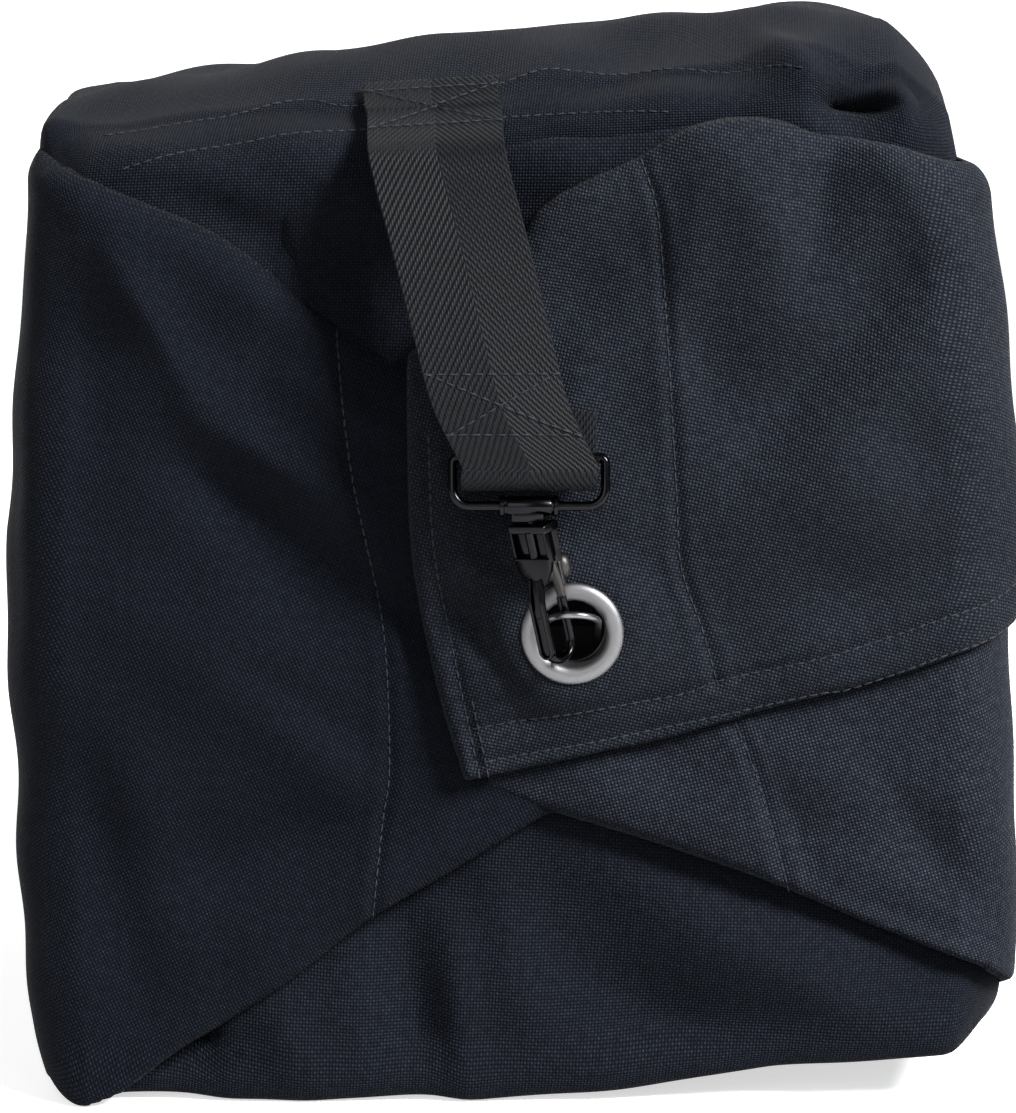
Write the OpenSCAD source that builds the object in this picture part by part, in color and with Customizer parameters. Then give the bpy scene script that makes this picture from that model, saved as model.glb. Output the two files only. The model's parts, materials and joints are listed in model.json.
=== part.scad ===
// Sand bag with a fold-over mouth, held shut by a webbing strap, a ring and a swivel snap hook.
// The bag stands on its flat base. +Z is up, -Y is the closure face, +X is to the right of that face.
// The origin is the centre of the base. Everything is in millimetres.

/* [Bag] */
// Width of the bag across the closure face
bag_w = 272; // [220:1:330]
// Height of the bag
bag_h = 284; // [250:1:340]
// Depth of the cloth body from the mouth to the rear panel
body_d = 220; // [160:1:280]
// Radius of the long edges of the filled body
edge_r = 26; // [18:1:34]
// Radius of the four upright corners of the filled body
corner_r = 34; // [24:1:44]
// Thickness of the coated cloth
cloth_t = 1.4; // [0.8:0.1:2]
// Room between the folded layers of the mouth, taken up by the eyelets
layer_gap = 3.2; // [2.9:0.1:4]

/* [Mouth folds] */
// How far the folded layers stop short of the body outline
fold_inset = 7; // [5:1:12]
// Height of the hem band on the outer flap
hem_h = 13.5; // [10:0.5:18]
// Width of the doubled band along the top of the mouth
band_w = 14; // [10:1:20]
// Thickness of hem and band tape
tape_t = 0.8; // [0.5:0.1:1.2]

/* [Eyelets] */
// Outer diameter of an eyelet
eyelet_od = 28; // [25:0.5:30]
// Diameter of the hole through an eyelet
eyelet_id = 18; // [17:0.5:19]
// How far the rolled rim stands off the cloth
eyelet_rim = 1.4; // [1:0.1:1.5]
// Thickness of the washer behind the cloth
washer_t = 0.6; // [0.5:0.1:0.8]
// Place of the eyelets to the right of the middle
eyelet_x = 17.5; // [8:0.5:26]
// Height of the eyelets over the base
eyelet_z = 132; // [115:1:150]

/* [Staple] */
// Wire diameter of the staple
staple_wire = 1.8; // [1.4:0.1:2]
// Room between the staple's wire and the eyelet's hole, on each side
staple_room = 1.1; // [0.6:0.1:2]
// How far the staple stands out of the closure face
staple_out = 9; // [7:0.5:11]
// Upward lean of the staple
staple_tilt = 26; // [15:1:28]
// Width of the two plates that hold the staple
plate_w = 25; // [22:1:30]
// Height of the two plates
plate_h = 9; // [7:0.5:12]
// Thickness of the two plates
plate_t = 1.2; // [0.8:0.1:1.4]

/* [Strap] */
// Width of the webbing
strap_w = 37; // [30:1:38]
// Thickness of the webbing
strap_t = 1.6; // [1.2:0.1:2]
// Length of webbing sewn down on top of the bag
strap_sewn = 26; // [18:1:36]
// Place of the strap's sewn end to the right of the middle
strap_x = -21; // [-30:1:-12]
// Length of the folded-over end behind the strap
strap_return = 20; // [14:1:30]
// Sideways lean of the hanging hook from upright
hang_tilt = 12; // [8:1:14]

/* [Ring] */
// Room for the webbing inside the ring, both sides together
ring_room = 1.4; // [1:0.1:4]
// Distance between the ring's two bars
ring_h = 13; // [12:0.5:16]
// Wire diameter of the ring
ring_wire = 2.6; // [2:0.1:3]
// Bend radius at the ring's lower corners, to the wire's middle
ring_bend = 4.6; // [4:0.2:5.6]
// Bend radius at the ring's upper corners, clear of the webbing
ring_top_bend = 1.7; // [1.6:0.1:1.8]
// How far the lower bar stands off the closure face
bar_out = 11; // [10:0.5:13]
// Lean of the ring towards the bag at its upper bar
ring_lean = 10; // [4:1:14]

/* [Hook] */
// Outer diameter of the barrel that turns on the ring
barrel_d = 5.4; // [4.6:0.1:6]
// Length of the barrel
barrel_l = 16; // [12:0.5:20]
// Running clearance between wire and barrel, on the radius
barrel_clear = 0.05; // [0.03:0.01:0.1]
// Diameter of the swivel shank
shank_d = 3; // [2.4:0.1:3.4]
// Width of the hook's shoulder and neck
neck_w = 11; // [9:0.5:13]
// Depth of the neck, front to back
neck_d = 6; // [5:0.5:7]
// Width of the fixed arm
arm_w = 4.2; // [3.4:0.2:4.8]
// Thickness of the fixed arm
arm_t = 2.4; // [2:0.1:2.8]
// Radius of the hook's eye to the arm's middle
eye_r = 5.2; // [4.8:0.1:5.8]
// Distance from the ring bar to the centre of the hook's bend
bend_drop = 38.5; // [37:0.5:41]
// Distance from the ring bar to the top of the hook's back wire
tip_drop = 27.5; // [26.5:0.5:29]
// Lean of the hook's lower end towards the bag
hook_lean = 6; // [3:1:8]
// Turn of the hook about its own length
hook_turn = 40; // [30:1:50]
// Thickness of the gate
gate_t = 1.6; // [1.2:0.1:2]
// Distance from the ring bar to the gate's rivet
rivet_drop = 11; // [10:0.5:13]
// Diameter of the gate's rivet
rivet_d = 2; // [1.6:0.1:2.4]

/* [Sand and liners] */
// Wall of a sand liner
liner_t = 1; // [0.6:0.1:2]
// Room between a liner and the cloth around it, left by the slack of the cloth
liner_gap = 11; // [8:0.5:14]
// Height of a liner's gathered neck
neck_h = 22; // [16:1:30]
// Diameter of a liner's gathered neck
neck_dia = 16; // [12:1:22]
// Thickness of the cord round a liner's neck
tie_d = 3; // [2:0.5:4]

/* [Rear end] */
// How far the rear panel stops short of the body outline
rear_inset = 34; // [30:1:44]
// Width of the binding round the rear panel
binding_w = 9; // [6:1:12]

/* [Hidden] */

gap = 0.2;                                    // clearance between pieces that only lie together
front_y = -(body_d / 2 - 6);                  // outer face of the body's front wall
rear_y = front_y + body_d;                    // outer face of the body's rear wall
pitch = cloth_t + layer_gap;                  // from one eyeleted layer to the next
tuck_y = front_y - gap;                       // back face of the bottom tuck
top_y = tuck_y - pitch;                       // back face of the top tuck
left_y = top_y - pitch;                       // back face of the left flap
right_y = left_y - pitch;                     // back face of the outer right flap
under_y = (left_y - cloth_t + right_y) / 2 + cloth_t / 2;  // back face of the right under flap
face_y = right_y - cloth_t;                   // the closure face
eyelet_r = eyelet_od / 2;
hole_r = eyelet_id / 2;
staple_r = hole_r - staple_wire / 2 - staple_room;  // radius of the staple's bend, to the wire's middle
ring_w = strap_w + ring_room;                 // inner width of the ring
barrel_t = 1;                                 // wall of an eyelet's barrel
liner_w = (bag_w - 2 * cloth_t) / 2 - 1.25 * liner_gap;
liner_d = body_d - 2 * cloth_t - 2 * liner_gap;
liner_h = bag_h - 2 * cloth_t - 2 * liner_gap - neck_h - 4;
liner_z = cloth_t + liner_gap;
liner_back = 4;                               // how far the liners lie back from the folded mouth
liner_y = (front_y + rear_y) / 2 + liner_back;
liner_x = liner_w / 2 + liner_gap / 4;
liner_edge = 24;                              // radius of a liner's long edges
liner_corner = 28;                            // radius of a liner's upright corners
hook_reach = 36.5;                            // the ring's lower bar hangs this far above the eyelets
// The ring's lower bar hangs below the strap's sewn end along the lean of the strap.
bar_z = eyelet_z + hook_reach;                // height of the ring's lower bar
bar_x = strap_x + (bag_h - 42 - bar_z) * tan(hang_tilt) + 11;
bar_y = face_y - bar_out;
slack = 0.001;                                // overlap that joins two shapes of one solid
fold_in = 0.5;                                // the webbing draws in this much where it folds
shoulder_top = barrel_d / 2 + 2;              // the hook's shoulder starts this far under the bar
shoulder_t = 2.4;                             // thickness of the shoulder
shank_end = shoulder_top + shoulder_t + 0.15; // top of the swivel head, just under the shoulder
head_t = 1.2;                                 // thickness of the swivel head
neck_low = 17.5;                              // lower end of the neck, under the bar
gate_slot = 5;                                // room between the neck's cheeks
gate_w = gate_slot - 0.6;                     // width of the gate in the slot
rivet_y = 1.2;                                // rivet behind the middle of the neck
gate_rise = 1;                                // gate's end over the back wire, so that it swings past
gate_foot = 4.6;                              // height of the gate's upright end
knob_r = 2.3;                                 // radius of the gate's thumb knob

// --- shared shapes -------------------------------------------------------------------------

// Rounded rectangle lying in the plane of the sheet.
module rounded(w, d, r) {
  square([w - 2 * r, d], center = true);
  square([w, d - 2 * r], center = true);
  for (x = [-1, 1], y = [-1, 1])
    translate([x * (w / 2 - r), y * (d / 2 - r)])
      circle(r = r, $fn = 48);
}

// Filled bag form: three rounded profiles, one along each axis, and what they share.
module pillow(w, d, h, edge, corner, base = 0) {
  translate([0, 0, base + h / 2])
    intersection() {
      linear_extrude(h, center = true)
        rounded(w, d, corner);
      rotate([90, 0, 0])
        linear_extrude(d, center = true)
          rounded(w, h, edge);
      rotate([90, 0, 90])
        linear_extrude(w, center = true)
          rounded(d, h, edge);
    }
}

// Upright sheet: an outline in X and Z, given thickness forwards from its back face at y_back.
module sheet(y_back, t) {
  translate([0, y_back, 0])
    rotate([90, 0, 0])
      linear_extrude(t)
        children();
}

// Outline of the closure face, seen from the front.
module face_outline() {
  translate([0, bag_h / 2])
    rounded(bag_w - 2 * fold_inset, bag_h - 2 * fold_inset, 26);
}

// Hole for an eyelet's barrel in an upright sheet.
module eyelet_hole() {
  translate([eyelet_x, eyelet_z])
    circle(r = hole_r + barrel_t + gap / 2, $fn = 96);
}

// A place on the closure face: across from the middle and up from the base, as shares of the face.
function at(u, v) = [u * bag_w / 2, v * bag_h];

// One-piece eyelet: rolled rim in front of the cloth, barrel through it, flare behind the washer.
module eyelet(back_y) {
  front = back_y - cloth_t;
  translate([eyelet_x, 0, eyelet_z])
    rotate([90, 0, 0])
      rotate_extrude($fn = 96) {
        rim_mid = (eyelet_r + hole_r) / 2;
        rim_half = (eyelet_r - hole_r) / 2;
        translate([rim_mid, -front + gap / 4])
          intersection() {
            translate([-rim_half, 0])
              square([2 * rim_half, eyelet_rim]);
            translate([0, eyelet_rim - rim_half * 1.25])
              circle(r = rim_half * 1.25, $fn = 64);
          }
        translate([hole_r, -back_y - washer_t - gap * 2])
          square([barrel_t, cloth_t + washer_t + gap * 2 + 0.4]);
        translate([hole_r, -back_y - washer_t - gap * 2 - 0.5])
          square([barrel_t + 1.8, 0.5 + slack]);
      }
}

// Plain washer against the back of the cloth.
module eyelet_washer(back_y) {
  translate([eyelet_x, back_y + gap / 2 + washer_t, eyelet_z])
    rotate([90, 0, 0])
      difference() {
        cylinder(r = eyelet_r - 1, h = washer_t, $fn = 96);
        translate([0, 0, -1])
          cylinder(r = hole_r + barrel_t + gap / 2, h = washer_t + 2, $fn = 96);
      }
}

// Frame of the hanging hardware: the origin is the middle of the ring's lower bar, which hangs level.
module hang() {
  translate([bar_x, bar_y, bar_z])
    children();
}

// The same frame leaned sideways and towards the bag, so that -Z runs down the hook's swivel.
module swivel_frame() {
  hang()
    rotate([0, -hang_tilt, 0])
      rotate([hook_lean, 0, 0])
        children();
}

// Frame of the hook: the swivel's frame turned about its own length.
module hook_frame() {
  swivel_frame()
    rotate([0, 0, -hook_turn])
      children();
}

// --- bag -----------------------------------------------------------------------------------

module body_shell() {
  mouth = 2 * (edge_r + 12);
  color("#2b2f37")
    translate([0, (front_y + rear_y) / 2, 0])
      difference() {
        pillow(bag_w, body_d, bag_h, edge_r, corner_r);
        pillow(bag_w - 2 * cloth_t, body_d - 2 * cloth_t, bag_h - 2 * cloth_t,
          edge_r - cloth_t, corner_r - cloth_t, cloth_t);
        translate([0, -body_d / 2 + 3, bag_h / 2])
          rotate([90, 0, 0])
            linear_extrude(9, center = true)
              rounded(bag_w - mouth - 2 * corner_r, bag_h - mouth, 18);
        translate([0, body_d / 2, bag_h / 2])
          rotate([90, 0, 0])
            linear_extrude(8, center = true)
              rounded(bag_w - 2 * rear_inset, bag_h - 2 * rear_inset, 24);
      }
}

module rear_panel() {
  color("#2b2f37")
    translate([0, 0, bag_h / 2])
      sheet(rear_y - gap, cloth_t - gap)
        rounded(bag_w - 2 * rear_inset - 2 * gap, bag_h - 2 * rear_inset - 2 * gap, 24 - gap);
}

module rear_binding() {
  color("#22252c")
    translate([0, 0, bag_h / 2])
      sheet(rear_y + gap + tape_t, tape_t)
        difference() {
          rounded(bag_w - 2 * rear_inset + binding_w, bag_h - 2 * rear_inset + binding_w, 24 + binding_w / 2);
          rounded(bag_w - 2 * rear_inset - binding_w, bag_h - 2 * rear_inset - binding_w, 24 - binding_w / 2);
        }
}

module mouth_band() {
  color("#2f333b")
    translate([0, front_y + corner_r + 2 + band_w / 2, bag_h + gap])
      linear_extrude(tape_t)
        square([bag_w - 2 * edge_r - 12, band_w], center = true);
}

module top_tuck() {
  color("#15181d")
    sheet(top_y, cloth_t)
      difference() {
        intersection() {
          face_outline();
          polygon([at(-0.9, 0.96), at(0.2, 0.40), at(0.4, 0.40), at(0.9, 0.96)]);
        }
        eyelet_hole();
      }
}

module bottom_tuck() {
  color("#1c1f25")
    sheet(tuck_y, cloth_t)
      difference() {
        intersection() {
          face_outline();
          polygon([at(-0.92, 0), at(-0.85, 0.1), at(-0.1, 0.52), at(0.34, 0.52), at(0.98, 0.1), at(0.98, 0)]);
        }
        staple_feet_holes();
      }
}

module left_flap() {
  color("#20242b")
    sheet(left_y, cloth_t)
      difference() {
        intersection() {
          face_outline();
          polygon([at(-1, 0.95), at(-0.75, 0.89), at(-0.5, 0.81), at(-0.22, 0.73), at(0.36, 0.7),
            at(0.4, 0.38), at(0.04, 0.285), at(-0.28, 0.18), at(-0.6, 0.08), at(-0.86, 0.02), at(-1, 0.05)]);
        }
        eyelet_hole();
      }
}

module right_under_flap() {
  color("#282c34")
    sheet(under_y, cloth_t)
      intersection() {
        face_outline();
        polygon([at(-0.03, 0.3), at(0.3, 0.25), at(0.55, 0.2), at(0.75, 0.155), at(1, 0.09),
          at(1, 0.46), at(0.5, 0.385), at(0.1, 0.345)]);
      }
}

module right_flap() {
  color("#2a2e36")
    sheet(right_y, cloth_t)
      difference() {
        intersection() {
          face_outline();
          polygon([at(-0.19, 0.7), at(-0.19, 0.56), at(-0.17, 0.47), at(-0.13, 0.38), at(-0.06, 0.32),
            at(0.2, 0.345), at(0.5, 0.385), at(1, 0.46), at(1, 0.93), at(0.66, 0.955),
            at(0.42, 0.955), at(0.26, 0.92), at(0.06, 0.86)]);
        }
        eyelet_hole();
      }
}

module flap_hem() {
  color("#30343c")
    sheet(face_y - gap / 2, tape_t)
      intersection() {
        face_outline();
        difference() {
          polygon([at(-0.06, 0.32) + [3, 3], at(0.2, 0.345), at(0.5, 0.385), at(1, 0.46),
            at(1, 0.46) + [0, hem_h], at(0.5, 0.385) + [0, hem_h], at(0.2, 0.345) + [0, hem_h],
            at(-0.06, 0.32) + [3, hem_h]]);
          translate([eyelet_x, eyelet_z])
            circle(r = eyelet_r + 1, $fn = 96);
        }
      }
}

// --- eyelets and staple --------------------------------------------------------------------

module outer_eyelet() { color("silver") eyelet(right_y); }
module outer_washer() { color("darkgray") eyelet_washer(right_y); }
module left_eyelet() { color("silver") eyelet(left_y); }
module left_washer() { color("darkgray") eyelet_washer(left_y); }
module top_eyelet() { color("silver") eyelet(top_y); }
module top_washer() { color("darkgray") eyelet_washer(top_y); }

// Height of the leaning staple's middle plane, at a distance in front of the closure face.
staple_level = 4.5;                                   // depth at which the staple is level with the eyelets
function staple_lift(out) = (out + staple_level) * tan(staple_tilt);

foot_y = tuck_y - cloth_t;                            // front face of the bottom tuck
foot_z = eyelet_z + staple_lift(face_y - foot_y);     // where the legs go through the bottom tuck
crown_y = face_y - staple_out;

// Slots that the leaning legs pass through, as circles stretched by the lean.
module staple_feet_holes() {
  for (side = [-1, 1])
    translate([eyelet_x + side * staple_r, foot_z])
      hull()
        for (up = [-1, 1])
          translate([0, up * (cloth_t + plate_t)])
            circle(r = staple_wire / 2 + gap, $fn = 24);
}

module staple() {
  leg_end = (tuck_y + gap + plate_t - crown_y) / cos(staple_tilt);
  color("#30302f")
    translate([eyelet_x, crown_y, eyelet_z + staple_lift(staple_out)])
      rotate([-staple_tilt, 0, 0])
        union() {
          translate([0, staple_r, 0])
            rotate([0, 0, 180])
              rotate_extrude(angle = 180, $fn = 64)
                translate([staple_r, 0])
                  circle(d = staple_wire, $fn = 32);
          for (side = [-1, 1])
            translate([side * staple_r, staple_r, 0])
              rotate([-90, 0, 0])
                cylinder(d = staple_wire, h = leg_end - staple_r, $fn = 32);
        }
}

module plate_outline() {
  difference() {
    translate([eyelet_x, foot_z])
      rounded(plate_w, plate_h, 3);
    staple_feet_holes();
  }
}

module staple_plate() {
  color("#3a3a39")
    sheet(foot_y - gap / 2, plate_t)
      plate_outline();
}

module staple_back_plate() {
  color("#3a3a39")
    sheet(tuck_y + cloth_t + gap + plate_t, plate_t)
      plate_outline();
}

// --- strap ---------------------------------------------------------------------------------

strap_top = bag_h + tape_t + 3 * gap;                 // underside of the sewn end
strap_back = front_y + corner_r + strap_sewn;         // rear end of the sewn end

// Square of webbing inside the cloth under the strap's sewn end.
module strap_patch() {
  color("#22252c")
    translate([strap_x, front_y + corner_r + strap_sewn / 2, bag_h - cloth_t - gap - tape_t])
      linear_extrude(tape_t)
        square([strap_w, strap_sewn - 4], center = true);
}

// Thin bar across the webbing at a place on the front, leaned by the given angle.
module strap_line(x, y, z, lean, slope) {
  translate([x, y, z])
    rotate([slope, -lean, 0])
      cube([strap_w, strap_t, 0.4], center = true);
}

module strap() {
  loop_in = ring_wire / 2 + gap;
  loop_out = loop_in + strap_t;
  edge_y = face_y - 1.4 - strap_t / 2;
  color("#24272d")
    union() {
      translate([strap_x - strap_w / 2, front_y + edge_r, strap_top])
        cube([strap_w, strap_back - front_y - edge_r, strap_t]);
      hull() {
        translate([strap_x - strap_w / 2, front_y + edge_r, strap_top])
          cube([strap_w, 0.4, strap_t]);
        strap_line(strap_x, face_y + 8, bag_h - 2.5, 3, 62);
      }
      hull() {
        strap_line(strap_x, face_y + 8, bag_h - 2.5, 3, 62);
        strap_line(strap_x + 1, edge_y, bag_h - 16, 7, 14);
      }
      hull() {
        strap_line(strap_x + 1, edge_y, bag_h - 16, 7, 14);
        hang()
          strap_end_line(loop_in);
      }
      hang()
        rotate([-ring_lean, 0, 0])
          translate([0, 0, ring_h])
            difference() {
              rotate([0, 90, 0])
                cylinder(r = loop_out, h = strap_w - fold_in, center = true, $fn = 64);
              rotate([0, 90, 0])
                cylinder(r = loop_in, h = strap_w + 2, center = true, $fn = 64);
            }
      hang()
        strap_return_leg(loop_in);
    }
}

// Lower end of the hanging web, tangent to the front of the loop round the upper bar.
module strap_end_line(loop_in) {
  rotate([-ring_lean, 0, 0])
    translate([0, -loop_in - strap_t / 2, ring_h + 0.5])
      cube([strap_w, strap_t, 0.4], center = true);
}

// Folded-over end behind the hanging web.
module strap_return_leg(loop_in) {
  rotate([-ring_lean, 0, 0])
    translate([-(strap_w - 2 * fold_in) / 2, loop_in, ring_h])
      cube([strap_w - 2 * fold_in, strap_t, strap_return]);
}

// --- ring and swivel -----------------------------------------------------------------------

// Straight bar of the ring at a height, reaching the same length to both sides.
module ring_bar(z, reach) {
  translate([0, 0, z])
    rotate([0, 90, 0])
      cylinder(d = ring_wire, h = 2 * reach, center = true, $fn = 48);
}

module ring() {
  half = ring_w / 2 + ring_wire / 2;
  color("#1d1d1f")
    hang()
      rotate([-ring_lean, 0, 0])
        union() {
          ring_bar(0, half - ring_bend);
          ring_bar(ring_h, half - ring_top_bend);
          for (side = [-1, 1])
            translate([side * half, 0, ring_bend])
              cylinder(d = ring_wire, h = ring_h - ring_bend - ring_top_bend, $fn = 48);
          for (corner = [0 : 3]) {
            bend = corner < 2 ? ring_top_bend : ring_bend;
            side = corner == 0 || corner == 3 ? 1 : -1;
            translate([side * (half - bend), 0, corner < 2 ? ring_h - bend : bend])
              rotate([90, 0, 0])
                rotate([0, 0, corner * 90])
                  rotate_extrude(angle = 90, $fn = 64)
                    translate([bend, 0])
                      circle(d = ring_wire, $fn = 48);
          }
        }
}

// Barrel on the ring's lower bar with the shank and head that the hook swivels on.
module swivel_barrel() {
  collar_l = 1.6;
  color("#232325")
    union() {
      difference() {
        union() {
          hang()
            rotate([0, 90, 0])
              cylinder(d = barrel_d, h = barrel_l, center = true, $fn = 64);
          for (side = [-1, 1])
            hang()
              translate([side * (barrel_l / 2 - collar_l / 2), 0, 0])
                rotate([0, 90, 0])
                  cylinder(d = barrel_d + 0.8, h = collar_l, center = true, $fn = 64);
          swivel_frame()
            translate([0, 0, -barrel_d / 2 - 0.2])
              cylinder(d = shank_d + 2, h = 1.6, center = true, $fn = 48);
        }
        hang()
          rotate([0, 90, 0])
            cylinder(r = ring_wire / 2 + barrel_clear, h = barrel_l + 2, center = true, $fn = 64);
      }
      swivel_frame()
        translate([0, 0, -shank_end - head_t])
          cylinder(d = shank_d, h = shank_end + head_t - ring_wire / 2 - 0.6, $fn = 48);
      swivel_frame()
        translate([0, 0, -shank_end - head_t])
          cylinder(d = shank_d + 1.4, h = head_t, $fn = 48);
    }
}

// --- hook ----------------------------------------------------------------------------------

// Hook body: shoulder, forked neck, shield, channelled arm, bend and back wire.
module hook_body() {
  cheek = (neck_w - gate_slot) / 2;         // width of a cheek beside the gate
  color("#232325")
    hook_frame()
      difference() {
        union() {
          translate([-neck_w / 2, -neck_d / 2, -shoulder_top - shoulder_t])
            cube([neck_w, neck_d, shoulder_t]);
          for (side = [-1, 1])
            translate([side * (neck_w - cheek) / 2 - cheek / 2, -neck_d / 2, -neck_low + 3])
              cube([cheek, neck_d, neck_low - 3 - shoulder_top - 0.5]);
          translate([-neck_w / 2, -neck_d / 2, -neck_low])
            cube([neck_w, 2, neck_low - shank_end - head_t - 0.6]);
          translate([0, -neck_d / 2 + 2, -neck_low])
            rotate([90, 0, 0])
              linear_extrude(2)
                intersection() {
                  circle(r = neck_w / 2, $fn = 64);
                  translate([-neck_w, -2 * neck_w])
                    square([2 * neck_w, 2 * neck_w]);
                }
          arm_top = neck_low - 2;
          translate([-arm_w / 2, -eye_r - arm_t / 2, -bend_drop])
            cube([arm_w, arm_t, bend_drop - arm_top - 2]);
          hull() {
            translate([-arm_w / 2, -eye_r - arm_t / 2, -neck_low - 6])
              cube([arm_w, arm_t, 3]);
            translate([-arm_w / 2, -neck_d / 2, -neck_low + 1])
              cube([arm_w, 2, 3]);
          }
          translate([0, 0, -bend_drop])
            rotate([0, 90, 0])
              rotate([0, 0, -90])
                rotate_extrude(angle = 180, $fn = 96)
                  translate([eye_r, 0])
                    square([arm_t, arm_w * 0.8], center = true);
          translate([-arm_w * 0.4, eye_r - arm_t / 2, -bend_drop])
            cube([arm_w * 0.8, arm_t, bend_drop - tip_drop]);
        }
        translate([0, 0, -shoulder_top - shoulder_t - 1])
          cylinder(r = shank_d / 2 + barrel_clear, h = shoulder_t + 2, $fn = 48);
        translate([-1.1, -eye_r - arm_t / 2 - 1, -bend_drop + 1])
          cube([2.2, 1.7, bend_drop - neck_low - 8]);
        translate([0, rivet_y, -rivet_drop])
          rotate([0, 90, 0])
            cylinder(r = rivet_d / 2, h = neck_w + 2, center = true, $fn = 48);
      }
}

// Gate: eye round the rivet, flat leg down to the back wire, and a thumb knob.
module gate() {
  tip_y = eye_r;
  color("#6b6b68")
    hook_frame()
      difference() {
        union() {
          translate([0, rivet_y, -rivet_drop])
            rotate([0, 90, 0])
              cylinder(r = rivet_d / 2 + 0.7, h = gate_w, center = true, $fn = 48);
          hull() {
            translate([-gate_w / 2, rivet_y + 0.2, -rivet_drop - 2])
              cube([gate_w, gate_t, 1]);
            translate([-gate_w / 2, tip_y - gate_t / 2, -tip_drop + gate_rise + gate_foot - 1])
              cube([gate_w, gate_t, 1]);
          }
          translate([-gate_w / 2, tip_y - gate_t / 2, -tip_drop + gate_rise])
            cube([gate_w, gate_t, gate_foot]);
          translate([0, tip_y + 0.6, -tip_drop + gate_rise + gate_foot + 1.4])
            rotate([0, 90, 0])
              cylinder(r = knob_r, h = gate_w, center = true, $fn = 48);
        }
        translate([0, rivet_y, -rivet_drop])
          rotate([0, 90, 0])
            cylinder(r = rivet_d / 2 + 0.05, h = neck_w, center = true, $fn = 48);
      }
}

module gate_rivet() {
  color("#4a4a48")
    hook_frame()
      translate([0, rivet_y, -rivet_drop])
        rotate([0, 90, 0])
          union() {
            cylinder(r = rivet_d / 2, h = neck_w + 0.4, center = true, $fn = 48);
            for (side = [-1, 1])
              translate([0, 0, side * (neck_w / 2 + 0.4)])
                cylinder(r = rivet_d / 2 + 0.6, h = 0.7, center = true, $fn = 48);
          }
}

// Leaf spring inside the neck that pushes the gate shut.
module gate_spring() {
  color("#8a8a86")
    hook_frame()
      translate([-1.4, -neck_d / 2 + 2.1, -rivet_drop - 4])
        cube([2.8, 0.35, 6]);
}

// --- sand ----------------------------------------------------------------------------------

module liner(side) {
  color("#c9c7bd")
    translate([side * liner_x, liner_y, liner_z])
      difference() {
        union() {
          pillow(liner_w, liner_d, liner_h, liner_edge, liner_corner);
          translate([0, 0, liner_h - 1])
            cylinder(d = neck_dia, h = neck_h, $fn = 48);
        }
        pillow(liner_w - 2 * liner_t, liner_d - 2 * liner_t, liner_h - 2 * liner_t,
          liner_edge - liner_t, liner_corner - liner_t, liner_t);
        translate([0, 0, liner_h - 2 * liner_t])
          cylinder(d = neck_dia - 2 * liner_t, h = neck_h + 2 * liner_t, $fn = 48);
      }
}

module sand(side) {
  wall = liner_t + gap;
  color("#b49a6c")
    translate([side * liner_x, liner_y, liner_z])
      pillow(liner_w - 2 * wall, liner_d - 2 * wall, liner_h - 2 * wall,
        liner_edge - wall, liner_corner - wall, wall);
}

module tie(side) {
  color("#d8d4c8")
    translate([side * liner_x, liner_y, liner_z + liner_h + neck_h * 0.4])
      rotate_extrude($fn = 64)
        translate([neck_dia / 2 + tie_d / 2 + gap, 0])
          circle(d = tie_d, $fn = 32);
}

module left_liner() { liner(-1); }
module right_liner() { liner(1); }
module left_sand() { sand(-1); }
module right_sand() { sand(1); }
module left_tie() { tie(-1); }
module right_tie() { tie(1); }

body_shell();
rear_panel();
rear_binding();
mouth_band();
top_tuck();
bottom_tuck();
left_flap();
right_under_flap();
right_flap();
flap_hem();
strap_patch();
strap();
outer_eyelet();
outer_washer();
left_eyelet();
left_washer();
top_eyelet();
top_washer();
staple();
staple_plate();
staple_back_plate();
ring();
swivel_barrel();
hook_body();
gate();
gate_rivet();
gate_spring();
left_liner();
right_liner();
left_sand();
right_sand();
left_tie();
right_tie();
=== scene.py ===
import bmesh
import bpy
import json
import math
import numpy as np
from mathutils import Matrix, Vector, geometry


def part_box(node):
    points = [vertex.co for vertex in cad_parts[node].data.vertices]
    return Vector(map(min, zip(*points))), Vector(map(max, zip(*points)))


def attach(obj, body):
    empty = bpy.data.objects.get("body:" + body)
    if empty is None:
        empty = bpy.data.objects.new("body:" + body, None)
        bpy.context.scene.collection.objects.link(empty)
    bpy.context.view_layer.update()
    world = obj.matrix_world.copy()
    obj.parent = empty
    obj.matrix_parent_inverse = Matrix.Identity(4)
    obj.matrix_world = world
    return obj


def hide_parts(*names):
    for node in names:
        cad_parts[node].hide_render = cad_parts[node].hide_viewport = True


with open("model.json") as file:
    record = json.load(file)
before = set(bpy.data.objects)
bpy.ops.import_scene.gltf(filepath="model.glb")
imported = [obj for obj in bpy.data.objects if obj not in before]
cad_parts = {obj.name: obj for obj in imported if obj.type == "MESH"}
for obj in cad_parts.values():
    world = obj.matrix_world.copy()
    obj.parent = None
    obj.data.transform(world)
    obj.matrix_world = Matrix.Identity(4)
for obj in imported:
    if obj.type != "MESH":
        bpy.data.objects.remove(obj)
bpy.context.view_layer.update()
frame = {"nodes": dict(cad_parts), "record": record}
mm = 0.001
clothWall = 1.2               # drawn thickness of one folded layer, mm
rowStep = 1.5                 # spacing of the points along a fold's edge or a row of stitches, mm
threadLift = 0.12             # how far a thread lies above the cloth, mm
print("stage: frame loaded")

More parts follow.
